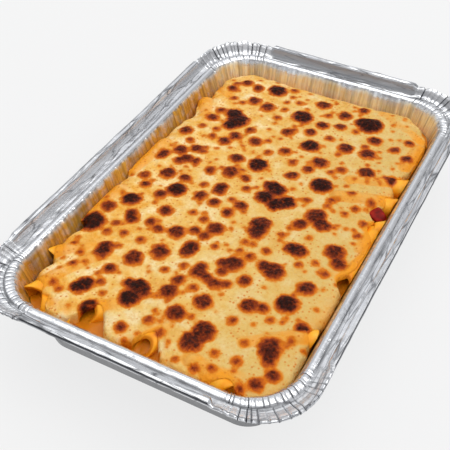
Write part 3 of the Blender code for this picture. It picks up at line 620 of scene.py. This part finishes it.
# bites in the topping's edge: place on the mouth's outline, depth inwards and half width along it
edgeBites = [
    (-67.5, -56.0, 3.5, 5.0), (-67.0, -82.0, 4.5, 8.0), (-62.0, -101.0, 8.0, 9.0), (-52.0, -109.2, 7.0, 6.0),
    (-25.0, -110.4, 14.5, 7.0), (3.5, -110.4, 13.0, 6.5), (42.0, -110.4, 6.0, 6.0), (67.5, -66.0, 4.0, 5.0),
    (67.5, -31.0, 6.0, 5.0), (67.5, 8.0, 6.0, 7.0), (67.5, 20.0, 8.0, 5.0), (67.5, 31.0, 5.0, 5.0),
    (67.5, 46.0, 6.0, 8.0), (60.0, 97.0, 5.0, 14.0), (-67.5, 52.0, 3.5, 5.0), (-67.5, 80.0, 4.0, 9.0),
    (-58.0, 100.0, 3.5, 10.0), (-5.0, 110.4, 3.5, 50.0),
]

# blisters charred nearly black: x, y and radius in mm
charred = [
    (-59, -49, 6.3), (45, -53.6, 4.8), (56.4, -62.7, 2.8), (-16.4, -82.3, 4.6), (-8.2, 26.4, 5.0),
    (-35.2, -10.2, 4.5), (-51.2, -27.3, 4.5), (-28.4, 93.6, 4.8), (30.5, 86.4, 6.4), (27.5, 86.8, 5.2),
    (-5.3, 75.5, 5.5), (-40, 61, 4.5), (-35, 56, 5.7), (-37, 50, 3.8), (9.3, 53, 4.8), (56.8, 48.3, 1.8),
    (56.8, 45.6, 1.8), (-16.4, -74, 4.0), (-38, -84, 3.6), (-40, -87.5, 3.4), (-30.3, -96.6, 1.7),
    (-30.6, -94.2, 1.9), (-29.0, -92.2, 1.9), (9, 12, 4.8), (6, 4, 4.2), (13, 2, 3.8), (17.5, 6, 4.2),
    (27.5, 25.5, 5.3),
]

# browned blisters
browned = [
    (-43, -65, 3.7), (-43, -61, 3.7), (-28, -61, 4.4), (-19.5, -51.8, 4.2), (-19.5, -37, 4.2),
    (-8.6, -46, 3.4), (-8.6, -42, 3.6), (2.3, -55.5, 3.5), (1.8, -51.4, 2.5), (7.3, -56.4, 2.5),
    (12.3, -57.7, 3), (16.8, -55.5, 2), (14, -42.7, 4.4), (11.4, -49.5, 2.5), (9, -45, 2.5), (22.7, -50, 3),
    (31.8, -39, 5), (26.4, -38, 3), (48.6, -41.4, 4), (30.9, -62.3, 3.8), (36.8, -60.5, 2.5),
    (-3.2, -63.2, 3), (12.7, -69.5, 4), (-3.6, -71, 4), (5.5, -80.5, 4.3), (-21.4, -75, 3), (-12.5, -76.5, 3),
    (-34, -71.4, 3), (20.9, -83.2, 5), (19, -90.5, 5), (49, -78.6, 5), (51, -84, 3), (55.5, -90, 3),
    (51.4, -96.8, 3), (-11, -97.5, 2.5), (-43, -39, 3), (-28, -39.5, 2.6), (-56, 35, 3.6), (-33, 36, 3.2),
    (-43, 24, 3.2), (-50, 18.6, 3.6), (-43.6, 14, 3.3), (-46, 10.5, 2.6), (-38, 14, 2.5), (-56, 13, 2.6),
    (-56, 9.5, 2.6), (-27.5, 10.5, 2.8), (-20.2, 26, 3.8), (-17.3, 13.6, 4), (-8.8, 13, 2.6), (11, 26, 3.5),
    (16.2, 34.5, 2.8), (5, 14, 3.5), (33.6, 3.6, 5), (39, -1.4, 4.2), (29.4, -5.3, 3.5), (-46, -1, 4),
    (-36, -0.5, 3), (-16, 1.5, 3.2), (-16, -1.8, 3.2), (-1.5, -6.5, 3.2), (-40.3, -17.3, 3.2),
    (-22.3, -9.1, 3.4), (-13.6, -10.9, 2.8), (-4.7, -13.8, 2.8), (-51, -14, 2.5), (13, -14, 5),
    (14, -20, 4.5), (51, -14.5, 4.6), (55.5, -20.5, 3.6), (32.5, -21.8, 3.6), (36.5, -21.8, 3.8),
    (-31.8, -26.4, 3.3), (-4.5, -26.4, 4), (-6.8, -33.2, 2.8), (-12.7, -31.8, 2.5), (-58.2, -36.4, 3.5),
    (-45, -36, 3), (-33.5, -37, 2.5), (-47.3, 92.3, 3), (-39.5, 90.5, 2.8), (0.5, 92.7, 4), (15, 89.1, 3.8),
    (22.5, 99, 2.8), (-35.9, 78.2, 3.6), (-26.2, 75.9, 3.8), (7.9, 73.6, 3.4), (16.6, 77.3, 3),
    (37.7, 74.7, 3.6), (55, 80.5, 2.5), (49.5, 71.4, 2.7), (58, 66, 2.8), (4.5, 64.7, 3), (26.4, 60.5, 4),
    (38.5, 60.7, 4.2), (-49.3, 52.7, 3.3), (-6.6, 58, 3), (43.6, 45.2, 4.2), (19.5, 42.7, 4.2),
    (-0.2, 42.3, 3), (-18, 43, 3.3), (-29.7, 42.7, 3.3), (-52.7, 83.2, 2.6), (-48, 60.6, 2.4),
    (-24.7, 50.5, 2.5),
]

# toasted spots, orange brown
toasted = [
    (5, -64.5, 2.2), (-2.5, -89, 2.3), (5, -92.5, 2.3), (30, -91, 2), (40, -90.5, 2.2), (47, -102, 2),
    (-46.5, -92, 1.6), (-51, -90, 1.8), (-50, -77, 2.3), (-28.5, -85, 1.5), (-33, -80, 2),
    (-38.5, -57.5, 1.5), (-58, -65, 1.8), (-51.5, -69, 1.7), (-40.5, -49.5, 2.2), (-48, -45, 2.2),
    (-48.5, -52, 2.2), (-31, -50, 2.3), (-12, -60.5, 1.8), (-5.5, -54.5, 2), (28.5, -72.5, 2.3),
    (38.5, -81, 1.7), (42.5, -65, 1.7), (55, -71.5, 1.7), (33, -98.5, 2), (26.5, -101.5, 2),
    (17.5, -101, 1.4), (12.5, -79, 1.4), (-49.5, 28.5, 2.2), (-40.5, 36.8, 2), (-38, 22.5, 2), (-13, 18, 1.6),
    (-4.5, 6, 2.3), (43.2, 26.4, 2.4), (6.8, 36.4, 2.5), (27.5, 38, 2), (36, 17.5, 2.2), (36, 12.5, 1.8),
    (25.5, 12.3, 2), (45.5, 11.5, 1.8), (48.5, 17.8, 2.2), (54, 25, 2), (55.5, 10, 2.2), (-25, -0.5, 2.2),
    (-7, -4.5, 2), (-55.5, -8, 3), (25, -16, 2), (-19.5, -21.5, 2), (-12.5, -23.2, 2.2), (12, -28.5, 1.8),
    (16, -28, 1.5), (23.2, -29, 2.3), (39.5, -29.5, 1.8), (52.5, -29.7, 2.2), (46, -25, 1.6),
    (18.5, -35.5, 2.5), (12.5, -34.5, 1.8), (1, -37, 1.8), (56.4, 0.7, 2), (37, -12, 1.5), (-52.3, 88.6, 2.5),
    (-20.2, 99, 2.5), (-18, 91.5, 1.6), (-12, 88, 2), (-19, 85.5, 1.6), (6.6, 84.5, 2.2), (-41, 73, 1.8),
    (-47.5, 75, 2.3), (-17, 78, 1.8), (25.5, 77.5, 1.8), (-17, 68.5, 2.2), (15.7, 64.3, 2.5), (35, 66.5, 2),
    (-4, 61.5, 2), (25, 54, 1.5), (-50, 42.5, 2.2), (-41.5, 43, 2), (31.4, 42.3, 2.7), (-12.5, 47, 1.6),
    (53.5, 47, 2), (-8, 38, 2.2),
]


def borderPlace(u, v):
    # where the ray through (u, v) meets the mouth's outline, and the outline's outward direction there
    reach = np.maximum(np.maximum(np.abs(u), np.abs(v)), 1e-9)
    bu, bv = u / reach, v / reach
    halfX, halfY, radius = tray["halfX"], tray["halfY"], tray["cornerRadius"]
    x, y = bu * halfX, bv * halfY
    overX, overY = np.abs(x) - (halfX - radius), np.abs(y) - (halfY - radius)
    inCorner = (overX > 0) & (overY > 0)
    angle = math.pi / 4 + (overY - overX) / radius * math.pi / 4
    cx = np.sign(x) * (halfX - radius + radius * np.cos(angle))
    cy = np.sign(y) * (halfY - radius + radius * np.sin(angle))
    onSide = np.abs(bu) >= np.abs(bv)
    nx = np.where(inCorner, np.sign(x) * np.cos(angle), np.where(onSide, np.sign(x), 0.0))
    ny = np.where(inCorner, np.sign(y) * np.sin(angle), np.where(onSide, 0.0, np.sign(y)))
    return np.where(inCorner, cx, x), np.where(inCorner, cy, y), nx, ny


def tubeTop(x, y):
    # height of the highest tube's back at a point, low where there is none
    top = np.full(x.shape, -1.0)
    for endX, endY, endZ, heading, dip, length, _ in penne:
        run = math.cos(math.radians(dip)) * length
        wayX, wayY = math.cos(math.radians(heading)), math.sin(math.radians(heading))
        along = (x - endX) * wayX + (y - endY) * wayY
        side = np.abs((y - endY) * wayX - (x - endX) * wayY)
        beyond = np.maximum(np.maximum(-along, along - run), 0)
        off = np.hypot(side, beyond)
        axisZ = endZ - math.sin(math.radians(dip)) * np.clip(along, 0, run)
        rise = np.sqrt(np.maximum((pasta["radius"] + pasta["sauceCoat"]) ** 2 - off ** 2, 0))
        top = np.where(off < pasta["radius"], np.maximum(top, axisZ + rise), top)
    return top


def ridgeField(x, y):
    draw = random.Random(cheese["ridgeSeed"])
    lift = np.zeros(x.shape)
    for _ in range(cheese["ridgeCount"]):
        cx, cy = draw.uniform(*cheese["ridgeX"]), draw.uniform(*cheese["ridgeY"])
        heading, height = draw.uniform(0, math.pi), draw.uniform(0.4, 1.0) * cheese["ridgeLift"]
        along = (x - cx) * math.cos(heading) + (y - cy) * math.sin(heading)
        side = (y - cy) * math.cos(heading) - (x - cx) * math.sin(heading)
        beyond = np.maximum(np.abs(along) - cheese["ridgeLength"] / 2, 0)
        lift = np.maximum(lift, height * np.exp(-(side ** 2 + beyond ** 2) / cheese["ridgeSpread"]))
    return lift


def allBlisters():
    # (x, y, radius, how dark) of every spot: the ones above, then small ones strewn between them
    spots = []
    for group, dark in zip((charred, browned, toasted), cheese["groupDark"]):
        for x, y, radius in group:
            spots.append((x + cheese["shiftX"], y + cheese["shiftY"], radius, dark))
    rng = np.random.default_rng(cheese["scatterSeed"])
    tries, strewn = 0, 0
    while strewn < cheese["scatterCount"] and tries < cheese["scatterTries"]:
        tries += 1
        x = rng.uniform(-cheese["scatterX"], cheese["scatterX"])
        y = rng.uniform(-cheese["scatterY"], cheese["scatterY"])
        radius = rng.uniform(*cheese["scatterRadius"])
        if all(math.hypot(x - a, y - b) > r + radius + cheese["scatterGap"] for a, b, r, _ in spots):
            spots.append((x, y, radius, rng.uniform(*cheese["scatterDark"])))
            strewn += 1
    return spots


def browningField(x, y):
    # how far each point is browned, from 0 for pale to 1 for charred, and the blisters' height
    # the blisters' ragged outlines, from relief turned by about 35 degrees so that it doesn't follow the axes
    turnedX, turnedY = 0.82 * x + 0.57 * y, 0.82 * y - 0.57 * x
    wx = x + 0.55 * relief(turnedX, turnedY, 2.4, 31) + 0.35 * relief(x, y, 1.1, 33)
    wy = y + 0.55 * relief(turnedX, turnedY, 2.4, 32) + 0.35 * relief(x, y, 1.1, 34)
    pale, lift = np.ones(x.shape), np.zeros(x.shape)
    for cx, cy, radius, dark in allBlisters():
        near = np.abs(x - cx) + np.abs(y - cy) < radius * 1.5 + 6
        warp = min(radius / 4.0, 1.0)  # small spots are rounder
        awayX = x[near] + warp * (wx[near] - x[near]) - cx
        away = np.hypot(awayX, y[near] + warp * (wy[near] - y[near]) - cy)
        level = dark * np.interp(away - radius, cheese["charSteps"], cheese["charLevels"])
        pale[near] *= 1 - level
        dome = radius * cheese["blisterLift"] * np.clip(1 - (away / radius / 1.15) ** 2, 0, None)
        lift[near] = np.maximum(lift[near], dome)
    return 1 - pale, lift


def edgeInset(bx, by):
    inset = cheese["inset"] + 0.5 * relief(bx, by, 9.0, 41) + 0.3 * relief(bx, by, 3.5, 42)
    for biteX, biteY, depth, reach in edgeBites:
        off = np.hypot(bx - biteX, by - biteY) / reach
        inset = inset + depth * np.exp(-off ** 2)
    return np.maximum(inset, cheese["leastInset"])


def makeCheese(material):
    u, v = np.meshgrid(np.linspace(-1, 1, cheese["columns"]), np.linspace(-1, 1, cheese["rows"]))
    reach = np.maximum(np.abs(u), np.abs(v))
    bx, by, nx, ny = borderPlace(u, v)
    inset = edgeInset(bx, by)
    x, y = (bx - nx * inset) * reach, (by - ny * inset) * reach
    brown, blister = browningField(x, y)
    # how far a point lies inside the topping's edge, and what it lies on there
    inside = np.clip(wallInset(x, y, 0.0) - inset, 0, None)
    tubes = tubeTop(x, y)
    under = np.maximum(bedHeight(x, y) + 0.5, tubes)
    lowSide = smoothStep(0.5 + (y / tray["halfY"] - x / tray["halfX"]) * 0.5)
    drop = cheese["fallNear"] + (cheese["fallFar"] - cheese["fallNear"]) * lowSide
    fall = (1 - smoothStep(inside / 9.0)) * drop
    dome = cheese["top"] + cheese["dome"] * (1 - (x / tray["halfX"]) ** 2) * (1 - (y / tray["halfY"]) ** 2)
    body = dome + ridgeField(x, y) + 0.5 * relief(x, y, 14.0, 43) + blister - fall
    body += 0.30 * relief(x, y, 5.0, 44) + 0.16 * relief(x, y, 2.2, 45) + 0.09 * relief(x, y, 1.0, 46)
    body += brown * (0.22 * relief(x, y, 1.3, 47) + 0.14 * relief(x, y, 0.8, 48))
    # over a tube it is a film, which thins out towards the edge
    film = 0.12 + cheese["film"] * smoothStep(inside / 7.0) * (1 + 0.4 * relief(x, y, 3.0, 49))
    body = np.maximum(body, tubes + film)
    climb = np.clip(inside / (cheese["edgeWidth"] * (1 + 0.4 * relief(x, y, 4.0, 50))), 0, 1)
    z = under + (body - under) * np.sqrt(1 - (1 - climb) ** 2)
    z = np.maximum(z, tubes + film)
    # the outermost ring turns down into the bed, and all of it keeps off the sloping wall
    z = np.where(reach > 0.9999, z - cheese["skirt"], z)
    push = np.maximum(cheese["wallGap"] - wallOut(z) - wallInset(x, y, 0.0), 0)
    x, y = x - nx * push, y - ny * push
    thin = np.clip(1.25 - (z - under) / 1.5, 0, 1)
    margin = np.exp(-(inside / 5.0) ** 1.5) * (0.1 + 0.5 * relief(x, y, 7.0, 51))
    sauce = np.clip(np.maximum(thin, margin), 0, 1)
    points = np.column_stack([x.ravel(), y.ravel(), z.ravel()])
    faces = gridFaces(cheese["rows"], cheese["columns"], False)
    values = {"brown": brown.ravel(), "sauce": sauce.ravel()}
    return makePiece("melted_cheese_topping", points, faces, material, values)


def cheeseMaterial():
    # mozzarella and white sauce, melted and browned under a grill: oily cream, orange halos, charred crowns
    material, tree, shader, place = newMaterial("melted mozzarella, grilled until blistered")
    brown, sauce = readValues(tree, "brown", "sauce")
    mottle = addNode(tree, "TexNoise", {"Scale": 1 / 0.009, "Detail": 5.0, "Roughness": 0.6},
                     {"Vector": place})  # thin and thick patches about 9 mm wide
    fine = addNode(tree, "TexNoise", {"Scale": 1 / 0.0014, "Detail": 4.0, "Roughness": 0.65},
                   {"Vector": place})  # curd grain about 1.4 mm
    base = rampColours(addNode(tree, "ValToRGB", None, {"Fac": mottle}),
                       [(0.36, "#f0aa3e"), (0.45, "#f5c060"), (0.54, "#f8d286"), (0.66, "#fee6b2")])
    # thicker and paler towards the right
    across = addNode(tree, "SeparateXYZ", None, {0: place})
    thickness = addNode(tree, "MapRange",
                        {"From Min": -0.05, "From Max": 0.05, "To Min": 0.0, "To Max": 0.8},
                        {"Value": across.outputs["X"]})
    thick = addNode(tree, "Mix", {"data_type": "RGBA", 7: linear("#d8b86c")}, {0: thickness, 6: base})
    pitted = addNode(tree, "MapRange", {"From Min": 0.36, "From Max": 0.52, "To Min": 0.4, "To Max": 0.0},
                     {"Value": fine})
    # darker and more orange in the pits of the curd, where its bump is low
    curd = addNode(tree, "Mix", {"data_type": "RGBA", 7: linear("#dc9c3c")}, {0: pitted, 6: thick})
    tinted = addNode(tree, "Mix", {"data_type": "RGBA", 7: linear("#f09c20")}, {0: sauce, 6: curd})
    # herbs and toasted crumbs: specks about a millimetre wide in two cells of five
    cells = addNode(tree, "TexVoronoi", {"Scale": 1 / 0.0055}, {"Vector": place})
    dots = addNode(tree, "MapRange", {"From Min": 0.06, "From Max": 0.13, "To Min": 0.3, "To Max": 0.0},
                   {"Value": cells})
    lot = addNode(tree, "SeparateColor", None, {0: cells.outputs["Color"]})
    chosen = addNode(tree, "Math", {"operation": "GREATER_THAN", 1: 0.6}, {0: lot})
    speck = addNode(tree, "Math", {"operation": "MULTIPLY"}, {0: dots, 1: chosen})
    speckled = addNode(tree, "Mix", {"data_type": "RGBA", 7: linear("#a5601c")}, {0: speck, 6: tinted})
    # orange freckles of oil and toasted milk, about a millimetre wide, thicker in some patches than in others
    grains = addNode(tree, "TexVoronoi", {"Scale": 1 / 0.0020}, {"Vector": place})
    grainDots = addNode(tree, "MapRange",
                        {"From Min": 0.16, "From Max": 0.34, "To Min": 0.85, "To Max": 0.0},
                        {"Value": grains})
    grainLot = addNode(tree, "SeparateColor", None, {0: grains.outputs["Color"]})
    patches = addNode(tree, "TexNoise", {"Scale": 1 / 0.013, "Detail": 2.0}, {"Vector": place})
    rarity = addNode(tree, "Math", {"operation": "MULTIPLY_ADD", 1: 1.6, 2: -0.30}, {0: patches})
    grainChosen = addNode(tree, "Math", {"operation": "GREATER_THAN"}, {0: grainLot, 1: rarity})
    freckle = addNode(tree, "Math", {"operation": "MULTIPLY"}, {0: grainDots, 1: grainChosen})
    freckled = addNode(tree, "Mix", {"data_type": "RGBA", 7: linear("#d87e1c")}, {0: freckle, 6: speckled})
    # the grain roughens each blister's edge and its crown
    centred = addNode(tree, "Math", {"operation": "SUBTRACT", 1: 0.5}, {0: fine})
    grit = addNode(tree, "Math", {"operation": "MULTIPLY"}, {0: centred, 1: brown})
    grainy = addNode(tree, "Math", {"operation": "MULTIPLY_ADD", 1: 1.6}, {0: grit, 2: brown})
    # bubbles about 2 mm wide in the browned skin, lighter between them
    bubbles = addNode(tree, "TexVoronoi", {"Scale": 1 / 0.0021}, {"Vector": place})
    rim = addNode(tree, "Math", {"operation": "SUBTRACT", 0: 0.45}, {1: bubbles})
    worn = addNode(tree, "Math", {"operation": "MULTIPLY"}, {0: rim, 1: brown})
    level = addNode(tree, "Math", {"operation": "MULTIPLY_ADD", 1: 0.45, "use_clamp": True},
                    {0: worn, 2: grainy})
    burnt = rampColours(addNode(tree, "ValToRGB", None, {"Fac": level}),
                        [(0.06, "#e2921e"), (0.16, "#d8760a"), (0.28, "#be5806"), (0.40, "#9c3e06"),
                         (0.54, "#7c2c08"), (0.68, "#5a1e06"), (0.80, "#3e1408"), (1.0, "#28100a")])
    cover = addNode(tree, "MapRange", {"From Min": 0.03, "From Max": 0.13}, {"Value": level})
    colour = addNode(tree, "Mix", {"data_type": "RGBA"}, {0: cover, 6: freckled, 7: burnt})
    relieved = addNode(tree, "Math", {"operation": "MULTIPLY_ADD", 1: 1.5}, {0: worn, 2: fine})
    bump = addNode(tree, "Bump", {"Strength": 1.0, "Distance": 0.0008}, {"Height": relieved})
    oil = addNode(tree, "MapRange", {"From Min": 0.35, "From Max": 0.65, "To Min": 0.26, "To Max": 0.50},
                  {"Value": mottle})
    crusty = addNode(tree, "Math", {"operation": "MULTIPLY_ADD", 1: 0.2}, {0: brown, 2: oil})
    gloss = addNode(tree, "MapRange", {"To Min": 0.22, "To Max": 0.10}, {"Value": brown})
    fillNode(tree, shader, {
        "IOR": 1.45, "Subsurface Weight": 0.12, "Subsurface Radius": (1.0, 0.6, 0.3),
        "Subsurface Scale": 0.0015,
    }, {"Base Color": colour, "Normal": bump, "Roughness": crusty, "Specular IOR Level": gloss})
    return material


# the piece of red pepper between two tubes at the right side

pepper = {"place": (58.0, 21.0, 29.6), "turn": (16.0, 4.0, -24.0), "radius": 8.0, "bend": math.radians(76),
          "halfWidth": 3.6, "thick": 1.7, "steps": 24, "across": 14}


def makePepper(material):
    points = []
    columns = pepper["across"] * 2
    for i in range(pepper["steps"] + 1):
        share = i / pepper["steps"]
        bend = (share - 0.5) * pepper["bend"]
        halfWidth = pepper["halfWidth"] * (0.65 + 0.35 * math.sin(math.pi * share))
        for k in range(columns):
            a = 2 * math.pi * k / columns
            side = math.copysign(abs(math.cos(a)) ** 0.6, math.cos(a)) * halfWidth
            swell = math.copysign(abs(math.sin(a)) ** 0.7, math.sin(a))
            radius = pepper["radius"] + pepper["thick"] * (0.5 + 0.5 * swell)
            points.append((radius * math.sin(bend), side, radius * math.cos(bend) - pepper["radius"]))
    faces = closedFaces(pepper["steps"] + 1, columns)
    piece = makePiece("red_pepper_strip", points, faces, material, None, 50)
    aboutX, aboutY, aboutZ = [
        Matrix.Rotation(math.radians(angle), 4, axis) for angle, axis in zip(pepper["turn"], "XYZ")]
    turn = aboutZ @ aboutY @ aboutX
    piece.data.transform(Matrix.Translation(Vector(pepper["place"]) * mm) @ turn)
    return piece


def pepperMaterial():
    # sweet red pepper, roasted: wet waxy skin with darker, softened patches
    material, tree, shader, place = newMaterial("roasted red pepper skin")
    patch = addNode(tree, "TexNoise", {"Scale": 1 / 0.003, "Detail": 3.0}, {"Vector": place})
    colour = rampColours(addNode(tree, "ValToRGB", None, {"Fac": patch}),
                         [(0.35, "#640802"), (0.55, "#8e1204"), (0.75, "#ac2408")])
    bump = addNode(tree, "Bump", {"Strength": 0.3, "Distance": 0.0003}, {"Height": patch})
    fillNode(tree, shader, {"Roughness": 0.4, "Specular IOR Level": 0.15, "IOR": 1.45},
             {"Base Color": colour, "Normal": bump})
    return material


foil = makeTray(foilMaterial())
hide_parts("foil_tray")
print("foil tray pressed:", len(foil.data.polygons), "faces")

tubes = makePasta(pastaMaterial())
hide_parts("penne_in_sauce")
print("penne laid:", len(tubes.data.polygons), "faces")

topping = makeCheese(cheeseMaterial())
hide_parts("cheese_topping")
print("cheese melted:", len(topping.data.polygons), "faces")

strip = makePepper(pepperMaterial())
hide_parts("red_pepper")
print("pepper placed")

for piece in (foil, tubes, topping, strip):
    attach(piece, "root")


# pale floor, soft studio light, and the camera

studio = {
    "cameraPlace": (0.13085, -0.27210, 0.29170), "azimuth": 27.97, "elevation": 42.59, "lens": 64.63,
    "floorColour": "#5c5c5c", "floorGlow": 7.2, "floorHalf": 3,
    # the sky's colour from the horizon at 0.5 to overhead at 1, and its share of strength round the compass
    "skyColours": [(0.50, "#a4a5a7"), (0.62, "#9d9ea0"), (0.74, "#98999b"), (0.84, "#96979a"),
                   (0.90, "#a8a9ab"), (0.945, "#d8d9da"), (0.98, "#ffffff")],
    "skyShares": [(0.0, 0.62), (0.22, 0.80), (0.38, 1.0), (0.66, 0.88), (1.0, 0.62)], "skyStrength": 2.45,
    "keyPlace": (0.75, 0.30, 0.95), "keyTarget": (0, 0, 0.03), "keySize": (0.6, 0.5), "keyPower": 3.0,
}

half = studio["floorHalf"]
floorMesh = bpy.data.meshes.new("studio_floor")
floorCorners = [(-half, -half, 0), (half, -half, 0), (half, half, 0), (-half, half, 0)]
floorMesh.from_pydata(floorCorners, [], [(0, 1, 2, 3)])
floor = bpy.data.objects.new("studio_floor", floorMesh)
scene.collection.objects.link(floor)
paper, paperTree, paperShader, paperPlace = newMaterial("white background paper")
paperGrain = addNode(paperTree, "TexNoise", {"Scale": 900.0}, {"Vector": paperPlace})
paperBump = addNode(paperTree, "Bump", {"Strength": 0.02, "Distance": 0.0002}, {"Height": paperGrain})
floorColour = linear(studio["floorColour"])
fillNode(paperTree, paperShader, {
    "Base Color": floorColour, "Roughness": 0.9,
    "Emission Color": floorColour, "Emission Strength": studio["floorGlow"],
}, {"Normal": paperBump})
floorMesh.materials.append(paper)

world = bpy.data.worlds.new("studio")
scene.world = world
world.use_nodes = True
skyTree = world.node_tree
skyPlace = addNode(skyTree, "TexCoord").outputs["Generated"]
skySplit = addNode(skyTree, "SeparateXYZ", None, {0: skyPlace})
skyHeight = addNode(skyTree, "MapRange", {"From Min": -1.0, "From Max": 1.0},
                    {"Value": skySplit.outputs["Z"]})
skyUp = rampColours(addNode(skyTree, "ValToRGB", None, {"Fac": skyHeight}), studio["skyColours"])
skyCross = addNode(skyTree, "Math", {"operation": "MULTIPLY"},
                   {0: skySplit.outputs["X"], 1: skySplit.outputs["Y"]})
skyRound = addNode(skyTree, "MapRange", {"From Min": -0.5, "From Max": 0.25}, {"Value": skyCross})
skyShare = addNode(skyTree, "FloatCurve", None, {"Value": skyRound})
shares = skyShare.mapping.curves[0].points
shares[0].location, shares[1].location = studio["skyShares"][:2]
for spot in studio["skyShares"][2:]:
    shares.new(*spot)
skyShare.mapping.update()
skyPower = addNode(skyTree, "Math", {"operation": "MULTIPLY", 1: studio["skyStrength"]}, {0: skyShare})
fillNode(skyTree, skyTree.nodes["Background"], None, {"Color": skyUp, "Strength": skyPower})


def addSoftbox(name, place, target, size, power):
    data = bpy.data.lights.new(name, "AREA")
    data.shape = "RECTANGLE"
    data.size, data.size_y = size
    data.energy = power
    lamp = bpy.data.objects.new(name, data)
    scene.collection.objects.link(lamp)
    lamp.location = place
    lamp.rotation_euler = (Vector(target) - Vector(place)).to_track_quat("-Z", "Y").to_euler()


addSoftbox("key_softbox", studio["keyPlace"], studio["keyTarget"], studio["keySize"], studio["keyPower"])

azimuth, elevation = math.radians(studio["azimuth"]), math.radians(studio["elevation"])
level = math.cos(elevation)
back = Vector((math.sin(azimuth) * level, -math.cos(azimuth) * level, math.sin(elevation)))
cameraData = bpy.data.cameras.new("camera")
cameraData.lens = studio["lens"]
cameraData.sensor_width = 36.0
camera = bpy.data.objects.new("camera", cameraData)
scene.collection.objects.link(camera)
camera.location = studio["cameraPlace"]
camera.rotation_euler = (-back).to_track_quat("-Z", "Y").to_euler()
scene.camera = camera
scene.view_settings.view_transform = "Standard"
print("studio lit, camera set")
